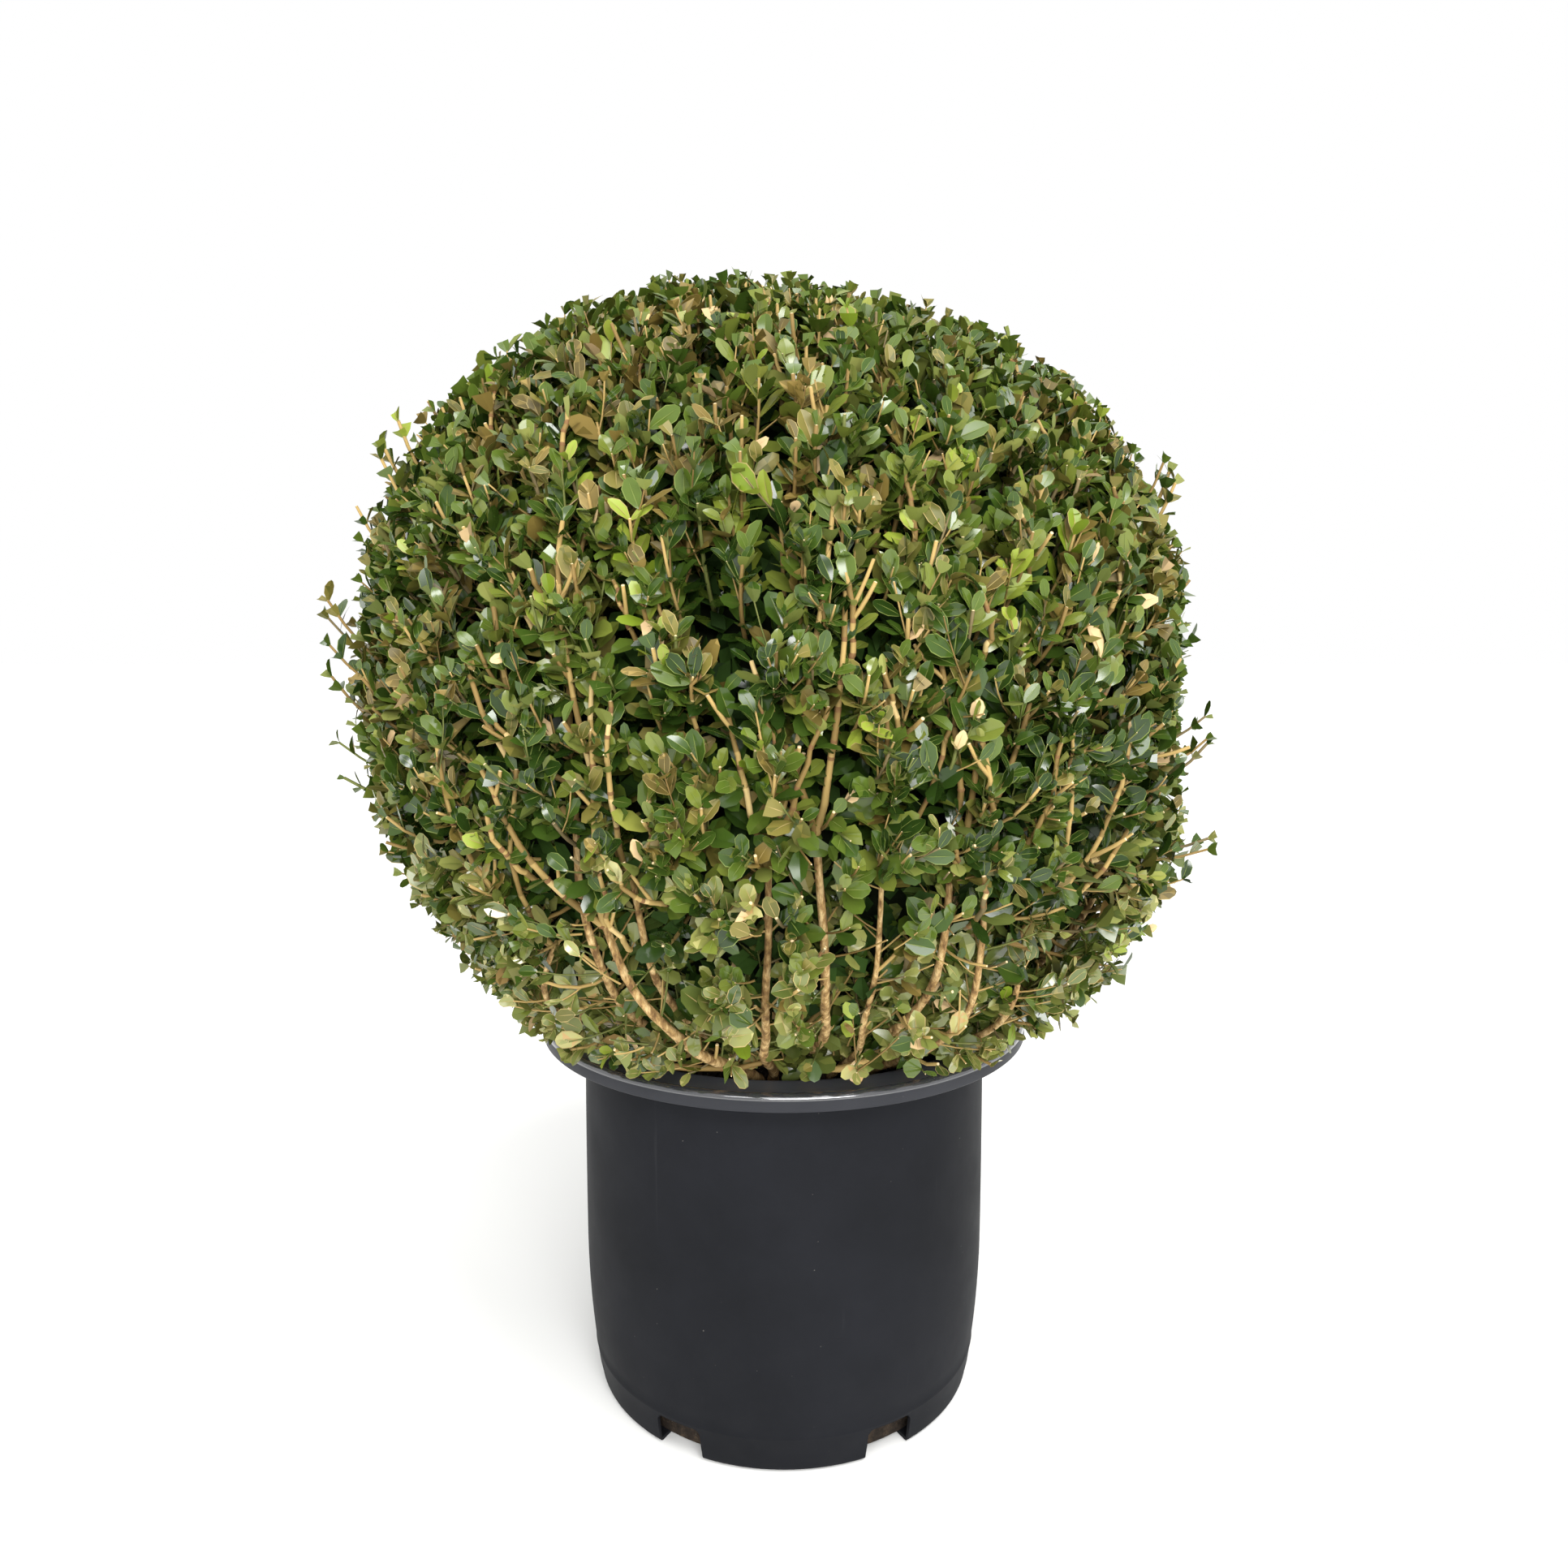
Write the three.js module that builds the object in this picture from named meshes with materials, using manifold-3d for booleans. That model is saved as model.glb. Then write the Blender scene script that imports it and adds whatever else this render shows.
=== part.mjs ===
// A clipped box ball growing in a round black nursery pot.
//
// Millimetres, +Z up. The origin is the centre of the pot's flat underside, and -Y is the front.
// Azimuths are in degrees round the pot, 0 at the front and growing towards +X.
//
// The pot holds the potting mix. A short main stem and the boughs stand on the mix with a flat cut,
// lean out over the rim and end where they enter the clipped mass. The mass is one piece: a stem, a
// core that stands for the dense inside, and twigs with leaves that reach the clipped surface.

import * as THREE from "three";
import { mergeVertices } from "three/addons/utils/BufferGeometryUtils.js";
import Module from "manifold-3d";

const GAP = 0.3; // clearance between pieces that touch
const SEED = 20;
const SHORTEST_EDGE = 0.1; // the joined foliage has no shorter ones

// Pot: a bulged wall under an overhanging lip, with drainage notches round its foot.
const POT_HEIGHT = 278;
const POT_SKIN = 2.5;
const LIP_RADIUS = 180;
const LIP_INNER_RADIUS = 155;
const LIP_SKIRT = 11.5;
const LIP_ROUNDING = 2.5;
const WALL_TOP_RADIUS = 149;
const WALL_BELLY_RADIUS = 150.5;
const WALL_BELLY_HEIGHT = 110;
const WALL_FOOT_RADIUS = 142;
const FOOT_ROUNDING = 4;
const NOTCH_COUNT = 6;
const NOTCH_WIDTH = 35;
const NOTCH_HEIGHT = 24;
const NOTCH_CORNER = 5;
const POT_SIDES = 42;

// Potting mix: fills the pot to a little under the rim, and stands back behind the notches.
const MIX_LEVEL = 255;
const MIX_SETBACK = 8;

// Clipped surface that the leaf tips reach: a ball with a slightly flattened top.
const BALL_RADIUS = 290;
const BALL_CENTRE = 512;
const BALL_RISE = 279;
const BALL_DROP = 300;
const BALL_FULLNESS = 2.16;

// Core of the mass: a smaller, lumpy ball whose underside stays above the boughs.
const CORE_SHARE = 0.81;
const CORE_DROP = 234;
const CORE_DETAIL = 5;
const CORE_LUMP = 9;

// Main stem, hidden inside: from the mix up to the mass.
const STEM_HEIGHT = 62;
const STEM_RADIUS = 8;
const STEM_FLARE = 7;
const STEM_LEAN = 6;

// Twigs and leaves of the mass. Each shoot grows out of the core, bent a little upwards, and every
// third one forks. Lengths in PAIR_LENGTHS are tried in turn where the space is narrow.
const SHOOTS = 110;
const LOWEST_SHOOT = -64;
const TWIG_SIDES = 3;
const TWIG_RADIUS = 2.6;
const TWIG_SINK = 12;
const SHOOT_LIFT = 0.55;
const FORK_EVERY = 3;
const FORK_ANGLE = 38;
const FORK_AT = 0.45;
const ROOM_STEP = 0.5;
const END_LEAF_SHARE = 0.7;
const LEAF_LENGTH = 60;
const LEAF_WIDTH = 33;
const LEAF_THICKNESS = 2.8;
const LEAF_ANGLE = 52;
const LEAF_WAVER = 14;
const LEAF_WIDEST = 0.58;
const LEAF_SINK = 1.2;
const PAIR_SPACING = 30;
const PAIR_LENGTHS = [1, 0.82, 0.66].map((share) => LEAF_LENGTH * share);
const LEAF_ROOM = 14;
const LIMB_CLEARANCE = 2;
const LIP_CLEARANCE = 10;
const STRAY_EVERY = 19;
const STRAY_REACH = 11;

// Boughs. Each leaves the pot at an azimuth, swings by a number of degrees while it climbs, and
// enters the mass at a height. Its girth is its diameter over the rim, and its tuck is how far it
// runs inside the outermost ones.
const BOUGH_SIDES = 6;
const BOUGH_STEPS = 10;
const BOUGHS = [
  { azimuth: -33, swing: 4, height: 452, girth: 6.4, tuck: 4 },
  { azimuth: -9, swing: -18, height: 394, girth: 7.4, tuck: 0 },
  { azimuth: -20, swing: -1, height: 420, girth: 6.0, tuck: 26 },
  { azimuth: -4, swing: 2, height: 436, girth: 6.2, tuck: 12 },
  { azimuth: 10, swing: -6, height: 452, girth: 7.0, tuck: 0 },
  { azimuth: 16, swing: -3, height: 428, girth: 4.6, tuck: 18 },
  { azimuth: 24, swing: -1, height: 426, girth: 6.6, tuck: 6 },
  { azimuth: 33, swing: -4, height: 416, girth: 5.6, tuck: 0 },
  { azimuth: -58, swing: 20, height: 372, girth: 5.4, tuck: 0 },
  { azimuth: 47, swing: -9, height: 376, girth: 5.2, tuck: 4 },
  { azimuth: 68, swing: 6, height: 440, girth: 6.6, tuck: 6 },
  { azimuth: -78, swing: -8, height: 448, girth: 6.4, tuck: 0 },
  { azimuth: 96, swing: -10, height: 428, girth: 6.0, tuck: 10 },
  { azimuth: -104, swing: 7, height: 420, girth: 5.8, tuck: 4 },
  { azimuth: 128, swing: 9, height: 444, girth: 7.0, tuck: 0 },
  { azimuth: -134, swing: -9, height: 434, girth: 6.2, tuck: 8 },
  { azimuth: 157, swing: -5, height: 424, girth: 5.8, tuck: 4 },
  { azimuth: -166, swing: 8, height: 450, girth: 6.6, tuck: 0 },
];
const BOUGH_TIP_SHARE = 0.84;
const FOOT_RINGS = [58, 92];
const FOOT_DEPTH = 10;

const UP = new THREE.Vector3(0, 0, 1);
const GOLDEN_ANGLE = Math.PI * (3 - Math.sqrt(5));

const wasm = await Module();
wasm.setup();

// --- numbers and places -----------------------------------------------------------------------

// Seeded random numbers from 0 to 1, the same each time.
function seededRandom(seed) {
  let state = seed;
  return () => {
    state = (state + 0x6d2b79f5) | 0;
    let t = Math.imul(state ^ (state >>> 15), 1 | state);
    t = (t + Math.imul(t ^ (t >>> 7), 61 | t)) ^ t;
    return ((t ^ (t >>> 14)) >>> 0) / 4294967296;
  };
}

// The point at a radius, azimuth and height.
function place(radius, azimuth, height) {
  const a = THREE.MathUtils.degToRad(azimuth);
  return new THREE.Vector3(radius * Math.sin(a), -radius * Math.cos(a), height);
}

// Distance from the ball's centre to a ball-like surface, along a unit direction.
function ballReach(direction, radius, rise, drop) {
  const level = Math.hypot(direction.x, direction.y);
  const depth = direction.z > 0 ? rise : drop;
  const sum = (level / radius) ** BALL_FULLNESS + Math.abs(direction.z / depth) ** BALL_FULLNESS;
  return sum ** (-1 / BALL_FULLNESS);
}

function ballPoint(direction, distance) {
  return direction.clone().multiplyScalar(distance).add(new THREE.Vector3(0, 0, BALL_CENTRE));
}

// How far out a point lies, as a share of the way to the clipped surface.
function ballShare(point) {
  const offset = point.clone().sub(new THREE.Vector3(0, 0, BALL_CENTRE));
  const distance = offset.length();
  return distance / ballReach(offset.normalize(), BALL_RADIUS, BALL_RISE, BALL_DROP);
}

// Radius of the clipped surface at a height under the ball's centre.
function ballRadiusAt(height) {
  const share = (BALL_CENTRE - height) / BALL_DROP;
  return BALL_RADIUS * (1 - share ** BALL_FULLNESS) ** (1 / BALL_FULLNESS);
}

// --- solids -----------------------------------------------------------------------------------

function toSolid(geometry) {
  const bare = new THREE.BufferGeometry();
  bare.setAttribute("position", geometry.getAttribute("position"));
  bare.setIndex(geometry.getIndex());
  const merged = mergeVertices(bare, 1e-4);
  return new wasm.Manifold(
    new wasm.Mesh({
      numProp: 3,
      vertProperties: merged.attributes.position.array,
      triVerts: new Uint32Array(merged.index.array),
    }),
  );
}

function toGeometry(solid) {
  const mesh = solid.getMesh();
  const geometry = new THREE.BufferGeometry();
  geometry.setAttribute("position", new THREE.BufferAttribute(mesh.vertProperties, 3));
  geometry.setIndex(new THREE.BufferAttribute(mesh.triVerts, 1));
  geometry.computeVertexNormals();
  return geometry;
}

// The largest body of a solid, without loose scraps and with its sealed hollows filled.
function largestBody(solid) {
  return solid.decompose().reduce((a, b) => (b.volume() > a.volume() ? b : a));
}

// A limb with a round section along a curve, its radius given by a function of 0..1.
function limb(curve, radiusAt, sides, steps) {
  const section = new THREE.Shape(
    Array.from({ length: sides }, (_, i) => {
      const a = (2 * Math.PI * i) / sides;
      return new THREE.Vector2(Math.cos(a), Math.sin(a));
    }),
  );
  const geometry = new THREE.ExtrudeGeometry(section, { extrudePath: curve, steps });
  const rings = curve.getSpacedPoints(steps);
  const position = geometry.getAttribute("position");
  const vertex = new THREE.Vector3();
  for (let i = 0; i < position.count; i++) {
    vertex.fromBufferAttribute(position, i);
    const distances = rings.map((ring) => ring.distanceToSquared(vertex));
    const k = distances.indexOf(Math.min(...distances));
    vertex.sub(rings[k]).multiplyScalar(radiusAt(k / steps)).add(rings[k]);
    position.setXYZ(i, vertex.x, vertex.y, vertex.z);
  }
  return geometry;
}

function revolve(profile, sides) {
  const points = profile.map(([radius, height]) => new THREE.Vector2(radius, height));
  return new THREE.LatheGeometry(points, sides).rotateX(Math.PI / 2);
}

// --- pot and potting mix ----------------------------------------------------------------------

function wallRadius(height) {
  if (height >= WALL_BELLY_HEIGHT) {
    const share = (height - WALL_BELLY_HEIGHT) / (POT_HEIGHT - WALL_BELLY_HEIGHT);
    return WALL_BELLY_RADIUS - (WALL_BELLY_RADIUS - WALL_TOP_RADIUS) * share ** 2;
  }
  const share = (WALL_BELLY_HEIGHT - height) / WALL_BELLY_HEIGHT;
  return WALL_BELLY_RADIUS - (WALL_BELLY_RADIUS - WALL_FOOT_RADIUS) * share ** 2;
}

function potProfile() {
  const underLip = POT_HEIGHT - POT_SKIN;
  const outside = [
    [0, 0],
    [WALL_FOOT_RADIUS - FOOT_ROUNDING, 0],
    [WALL_FOOT_RADIUS - FOOT_ROUNDING * (1 - Math.SQRT1_2), FOOT_ROUNDING * (1 - Math.SQRT1_2)],
  ];
  for (const height of [FOOT_ROUNDING, 44, WALL_BELLY_HEIGHT, underLip]) {
    outside.push([wallRadius(height), height]);
  }
  const lip = [
    [LIP_RADIUS - POT_SKIN, underLip],
    [LIP_RADIUS - POT_SKIN, POT_HEIGHT - LIP_SKIRT],
    [LIP_RADIUS, POT_HEIGHT - LIP_SKIRT],
    [LIP_RADIUS, POT_HEIGHT - LIP_ROUNDING],
    [LIP_RADIUS - LIP_ROUNDING * 0.3, POT_HEIGHT - LIP_ROUNDING * 0.3],
    [LIP_RADIUS - LIP_ROUNDING, POT_HEIGHT],
    [LIP_INNER_RADIUS, POT_HEIGHT],
  ];
  const inside = [];
  for (const height of [POT_HEIGHT - 3 * POT_SKIN, WALL_BELLY_HEIGHT, 44, POT_SKIN]) {
    inside.push([wallRadius(height) - POT_SKIN, height]);
  }
  return [...outside, ...lip, ...inside, [0, POT_SKIN]];
}

// The cutter of one drainage notch: a doorway with rounded top corners, along +Y.
function notchCutter() {
  const half = NOTCH_WIDTH / 2;
  const door = new THREE.Shape();
  door.moveTo(-half, -1);
  door.lineTo(half, -1);
  door.lineTo(half, NOTCH_HEIGHT - NOTCH_CORNER);
  door.absarc(half - NOTCH_CORNER, NOTCH_HEIGHT - NOTCH_CORNER, NOTCH_CORNER, 0, Math.PI / 2);
  door.absarc(NOTCH_CORNER - half, NOTCH_HEIGHT - NOTCH_CORNER, NOTCH_CORNER, Math.PI / 2, Math.PI);
  const depth = 3 * MIX_SETBACK;
  const options = { depth, steps: 1, bevelEnabled: false, curveSegments: 3 };
  return new THREE.ExtrudeGeometry(door, options).rotateX(Math.PI / 2);
}

function makePot() {
  let pot = toSolid(revolve(potProfile(), POT_SIDES));
  for (let i = 0; i < NOTCH_COUNT; i++) {
    const cutter = notchCutter();
    cutter.translate(0, MIX_SETBACK - WALL_FOOT_RADIUS, 0);
    cutter.rotateZ((2 * Math.PI * (i + 0.5)) / NOTCH_COUNT);
    pot = pot.subtract(toSolid(cutter));
  }
  return toGeometry(pot);
}

function makeMix() {
  const foot = POT_SKIN + GAP;
  const shoulder = NOTCH_HEIGHT + 4;
  const inner = (height) => wallRadius(height) - POT_SKIN - GAP;
  const setBack = inner(foot) - MIX_SETBACK;
  const profile = [
    [0, foot],
    [setBack, foot],
    [setBack, shoulder],
  ];
  for (const height of [shoulder, 44, WALL_BELLY_HEIGHT, MIX_LEVEL]) {
    profile.push([inner(height), height]);
  }
  return revolve([...profile, [0, MIX_LEVEL]], POT_SIDES);
}

// --- stem and boughs --------------------------------------------------------------------------

const STEM_TIP = new THREE.Vector3(STEM_LEAN, 0, MIX_LEVEL + STEM_HEIGHT);

function stemLimb() {
  const foot = new THREE.Vector3(0, 0, MIX_LEVEL - FOOT_DEPTH);
  const middle = new THREE.Vector3(0, STEM_LEAN / 2, MIX_LEVEL + STEM_HEIGHT / 2);
  return {
    name: "main_stem",
    curve: new THREE.CatmullRomCurve3([foot, middle, STEM_TIP]),
    radiusAt: (t) => STEM_RADIUS + STEM_FLARE * (1 - t) ** 3,
    sides: 10,
    steps: 6,
  };
}

function boughLimb({ azimuth, swing, height, girth, tuck }, index) {
  const footRadius = FOOT_RINGS[index % FOOT_RINGS.length];
  const rimHeight = POT_HEIGHT + 2 * girth;
  const tipRadius = ballRadiusAt(height) * BOUGH_TIP_SHARE;
  const curve = new THREE.CubicBezierCurve3(
    place(footRadius, azimuth, MIX_LEVEL - FOOT_DEPTH),
    place(footRadius + 40, azimuth, rimHeight),
    place(ballRadiusAt(rimHeight + 20) * 1.06 - tuck, azimuth + swing * 0.4, rimHeight + tuck / 2),
    place(tipRadius, azimuth + swing, height),
  );
  return {
    name: "bough_" + String(index + 1).padStart(2, "0"),
    curve,
    radiusAt: (t) => girth * (0.66 - 0.34 * t),
    sides: BOUGH_SIDES,
    steps: BOUGH_STEPS,
  };
}

const LIMBS = [stemLimb(), ...BOUGHS.map(boughLimb)];

// A limb with the flat cut that it stands on, just clear of the mix.
function makeLimb({ curve, radiusAt, sides, steps }) {
  const under = new THREE.BoxGeometry(2 * LIP_RADIUS, 2 * LIP_RADIUS, 4 * FOOT_DEPTH);
  under.translate(0, 0, MIX_LEVEL + GAP - 2 * FOOT_DEPTH);
  const whole = toSolid(limb(curve, radiusAt, sides, steps));
  return toGeometry(whole.subtract(toSolid(under)));
}

// Points along every limb with the limb's radius there, to keep twigs and leaves off.
const SAMPLES = 48;
const LIMB_SAMPLES = LIMBS.flatMap(({ curve, radiusAt }) =>
  curve.getSpacedPoints(SAMPLES).map((point, i) => ({ point, radius: radiusAt(i / SAMPLES) })),
);

function clearOfLimbs(point, clearance) {
  return LIMB_SAMPLES.every((s) => s.point.distanceTo(point) > s.radius + clearance);
}

function clearOfPot(point, clearance) {
  const level = Math.hypot(point.x, point.y);
  return point.z > POT_HEIGHT + clearance || level > LIP_RADIUS + clearance;
}

// --- foliage ----------------------------------------------------------------------------------

// The core's distance from the ball's centre along a direction.
function coreReach(direction) {
  const { x, y, z } = direction;
  const lump = Math.sin(5 * x + 3 * y) * Math.sin(4 * y - 6 * z + 1) * Math.cos(5 * z + 2 * x);
  const rise = BALL_RISE * CORE_SHARE;
  return ballReach(direction, BALL_RADIUS * CORE_SHARE, rise, CORE_DROP) + CORE_LUMP * lump;
}

function makeCore() {
  const geometry = new THREE.IcosahedronGeometry(1, CORE_DETAIL);
  const position = geometry.getAttribute("position");
  for (let i = 0; i < position.count; i++) {
    const direction = new THREE.Vector3().fromBufferAttribute(position, i).normalize();
    const point = ballPoint(direction, coreReach(direction));
    position.setXYZ(i, point.x, point.y, point.z);
  }
  let core = toSolid(geometry);
  for (const { curve, radiusAt, sides, steps } of LIMBS) {
    const sleeve = limb(curve, (t) => radiusAt(t) + LIMB_CLEARANCE, sides, steps);
    core = core.subtract(toSolid(sleeve));
  }
  return core;
}

// The stem of the mass, which carries on from the main stem in its direction.
function makeMassStem() {
  const heading = LIMBS[0].curve.getTangent(1);
  const foot = STEM_TIP.clone().addScaledVector(heading, GAP);
  const top = STEM_TIP.clone().addScaledVector(heading, BALL_CENTRE - STEM_TIP.z);
  return toSolid(limb(new THREE.LineCurve3(foot, top), (t) => STEM_RADIUS * (1 - 0.4 * t), 8, 1));
}

function makeTwig(start, end, radius) {
  const taper = (t) => radius * (1 - 0.35 * t);
  return toSolid(limb(new THREE.LineCurve3(start, end), taper, TWIG_SIDES, 1));
}

// A leaf of eight faces, broadest past its middle, with its root at `root`.
function makeLeaf(root, direction, faceNormal, length) {
  const geometry = new THREE.OctahedronGeometry(1, 0);
  const position = geometry.getAttribute("position");
  for (let i = 0; i < position.count; i++) {
    const along = position.getY(i);
    const y = along === 0 ? LEAF_WIDEST : (along + 1) / 2;
    position.setXYZ(
      i,
      (position.getX(i) * LEAF_WIDTH) / 2,
      y * length,
      (position.getZ(i) * LEAF_THICKNESS) / 2,
    );
  }
  const side = new THREE.Vector3().crossVectors(direction, faceNormal).normalize();
  const face = new THREE.Vector3().crossVectors(side, direction).normalize();
  geometry.applyMatrix4(new THREE.Matrix4().makeBasis(side, direction, face));
  geometry.translate(root.x, root.y, root.z);
  return toSolid(geometry);
}

function clearOfCore(point) {
  const offset = point.clone().sub(new THREE.Vector3(0, 0, BALL_CENTRE));
  const distance = offset.length();
  return distance > coreReach(offset.normalize());
}

// Grows the twigs and leaves that stand out of the core.
function growFoliage() {
  const random = seededRandom(SEED);
  const pieces = [];
  const blades = [];

  // Whether a leaf blade keeps off those already grown, and if so, it is noted as grown.
  function clearOfLeaves(blade) {
    const near = (other) => blade.some((p) => other.some((q) => p.distanceTo(q) < LEAF_ROOM));
    if (blades.some(near)) return false;
    blades.push(blade);
    return true;
  }

  // A leaf, shortened where the space is narrow, and left out where it would still leave the
  // space or touch a limb, the pot, the core or another leaf.
  function addLeaf(root, direction, faceNormal, lengths, reach) {
    const start = root.clone().addScaledVector(direction, -LEAF_SINK);
    for (const length of lengths) {
      const tip = start.clone().addScaledVector(direction, length);
      const blade = [0.3, 0.6, 0.8].map((part) => start.clone().lerp(tip, part));
      const inside = ballShare(tip) < reach && clearOfCore(blade[1]) && clearOfCore(tip);
      if (!inside || !clearOfLimbs(tip, LIMB_CLEARANCE) || !clearOfPot(tip, LIMB_CLEARANCE)) continue;
      if (!blade.every((p) => clearOfLimbs(p, LEAF_WIDTH / 2) && clearOfPot(p, LIP_CLEARANCE))) continue;
      if (!clearOfLeaves(blade)) continue;
      pieces.push(makeLeaf(start, direction, faceNormal, length));
      return;
    }
  }

  // A twig with leaves in opposite pairs, each pair turned a quarter from the last.
  function addTwig(start, heading, length, radius, reach) {
    const end = start.clone().addScaledVector(heading, length);
    const along = [0.1, 0.3, 0.5, 0.7, 0.9, 1].map((share) => start.clone().lerp(end, share));
    const room = radius + LIMB_CLEARANCE;
    if (!along.every((p) => clearOfLimbs(p, room) && clearOfPot(p, room))) return null;
    pieces.push(makeTwig(start, end, radius));
    const spin = 2 * Math.PI * random();
    const across = new THREE.Vector3(heading.y, -heading.x, 0.01).normalize();
    const count = Math.max(1, Math.round((length - TWIG_SINK) / PAIR_SPACING));
    for (let pair = 0; pair < count; pair++) {
      const root = end.clone().addScaledVector(heading, -radius - pair * PAIR_SPACING);
      for (const turn of [0, Math.PI]) {
        const side = across.clone().applyAxisAngle(heading, spin + pair * (Math.PI / 2) + turn);
        const angle = THREE.MathUtils.degToRad(LEAF_ANGLE + LEAF_WAVER * (random() - 0.5));
        const direction = heading.clone().multiplyScalar(Math.cos(angle));
        direction.addScaledVector(side, Math.sin(angle)).normalize();
        addLeaf(root, direction, heading, PAIR_LENGTHS, reach);
      }
    }
    return end;
  }

  // A twig that runs to the clipped surface and ends in a leaf whose tip lies on it.
  function addShoot(start, heading, radius, reach) {
    let room = 0;
    while (ballShare(start.clone().addScaledVector(heading, room)) < reach) room += ROOM_STEP;
    const leaf = Math.min(LEAF_LENGTH, END_LEAF_SHARE * room);
    const end = addTwig(start, heading, room - leaf, radius, reach);
    if (!end) return null;
    const across = new THREE.Vector3(random() - 0.5, random() - 0.5, random() - 0.5);
    addLeaf(end, heading, across.cross(heading).normalize(), [leaf], reach + 0.01);
    return end;
  }

  for (let i = 0; i < SHOOTS; i++) {
    const lowest = Math.sin(THREE.MathUtils.degToRad(LOWEST_SHOOT));
    const z = 1 - ((i + 0.5) / SHOOTS) * (1 - lowest);
    const level = Math.sqrt(1 - z * z);
    const turn = i * GOLDEN_ANGLE;
    const outward = new THREE.Vector3(level * Math.cos(turn), level * Math.sin(turn), z);
    const lift = SHOOT_LIFT * THREE.MathUtils.smoothstep(z, -0.5, 0.3);
    const heading = outward.clone().addScaledVector(UP, lift).normalize();
    const start = ballPoint(outward, coreReach(outward) - TWIG_SINK);
    const reach = 1 + (i % STRAY_EVERY === STRAY_EVERY - 1 ? STRAY_REACH / BALL_RADIUS : 0);
    const end = addShoot(start, heading, TWIG_RADIUS, reach);
    if (!end || i % FORK_EVERY !== 0) continue;

    const splay = new THREE.Vector3(heading.y, -heading.x, 0).normalize();
    splay.applyAxisAngle(heading, 2 * Math.PI * random());
    const branch = heading.clone().applyAxisAngle(splay, THREE.MathUtils.degToRad(FORK_ANGLE));
    addShoot(start.clone().lerp(end, FORK_AT), branch, TWIG_RADIUS * 0.8, reach);
  }
  return pieces;
}

function makeFoliage() {
  const pieces = [makeCore(), makeMassStem(), ...growFoliage()];
  const joined = wasm.Manifold.union(pieces);
  return toGeometry(largestBody(joined).simplify(SHORTEST_EDGE));
}

// --- scene graph ------------------------------------------------------------------------------

function material(color, roughness) {
  return new THREE.MeshStandardMaterial({ color, roughness, metalness: 0 });
}

const potPlastic = material(0x2c2d2f, 0.45);
const pottingMix = material(0x3a2c20, 0.95);
const bark = material(0x9a7148, 0.8);
const foliage = material(0x3f6326, 0.5);

function named(name, geometry, surface) {
  const mesh = new THREE.Mesh(geometry, surface);
  mesh.name = name;
  return mesh;
}

const container = new THREE.Group();
container.add(named("pot", makePot(), potPlastic), named("potting_mix", makeMix(), pottingMix));

const plant = new THREE.Group();
for (const part of LIMBS) {
  plant.add(named(part.name, makeLimb(part), bark));
}
plant.add(named("foliage_ball", makeFoliage(), foliage));

const boxBall = new THREE.Group();
boxBall.add(container, plant);

export default boxBall;
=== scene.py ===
import math

import bmesh
import bpy
import numpy as np
from mathutils import Matrix, Vector


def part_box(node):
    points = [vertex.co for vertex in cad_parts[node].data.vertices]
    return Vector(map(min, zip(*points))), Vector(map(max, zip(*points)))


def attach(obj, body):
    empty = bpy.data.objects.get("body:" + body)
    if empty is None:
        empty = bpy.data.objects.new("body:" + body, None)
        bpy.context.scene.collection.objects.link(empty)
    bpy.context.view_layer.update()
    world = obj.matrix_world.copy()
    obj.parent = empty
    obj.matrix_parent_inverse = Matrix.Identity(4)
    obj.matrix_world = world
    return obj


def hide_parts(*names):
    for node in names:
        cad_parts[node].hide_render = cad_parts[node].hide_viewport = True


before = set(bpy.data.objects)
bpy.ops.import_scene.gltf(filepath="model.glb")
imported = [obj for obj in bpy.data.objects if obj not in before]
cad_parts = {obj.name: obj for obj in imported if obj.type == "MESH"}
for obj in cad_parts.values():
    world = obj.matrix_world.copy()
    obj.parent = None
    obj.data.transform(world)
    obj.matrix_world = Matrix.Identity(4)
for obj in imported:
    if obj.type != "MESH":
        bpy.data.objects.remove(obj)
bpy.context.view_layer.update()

# A clipped box ball in a black nursery pot. Metres, +Z up, -Y the front. Azimuths are in degrees
# round the pot, 0 at the front and growing towards +X.

MM = 0.001
SEED = 20
rng = np.random.default_rng(SEED)
UP = np.array([0.0, 0, 1])

# Pot, from the frame and the shape of its wall.
POT_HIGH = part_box("pot")[1]
POT_HEIGHT = POT_HIGH.z
POT_SIDES = 168
POT_SKIN = 2.5 * MM
LIP_RADIUS = POT_HIGH.x
LIP_INNER_RADIUS = 155 * MM
LIP_SKIRT = 11.5 * MM
LIP_EDGE = 4 * MM
LIP_GLOSS = 3.7 * MM
WALL_TOP_RADIUS = 149 * MM
WALL_BELLY_RADIUS = 150.5 * MM
WALL_BELLY_HEIGHT = 110 * MM
WALL_FOOT_RADIUS = 142 * MM
WALL_FOOT_EDGE = 4 * MM
INSIDE_LEVELS = (44 * MM, WALL_BELLY_HEIGHT, 190 * MM)
NOTCH_COUNT = 6
NOTCH_WIDTH = 35 * MM
NOTCH_HEIGHT = 24 * MM
NOTCH_CORNER = 5 * MM
NOTCH_FROM = 128 * MM
NOTCH_DEPTH = 30 * MM
STEP_HEIGHT = NOTCH_HEIGHT + 2.5 * MM
AXIS_HOLE = 0.5 * MM

# Potting mix.
MIX_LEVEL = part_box("potting_mix")[1].z
MIX_SETBACK = 8 * MM
MIX_GAP = 0.3 * MM
CRUMBS = 1500

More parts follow.
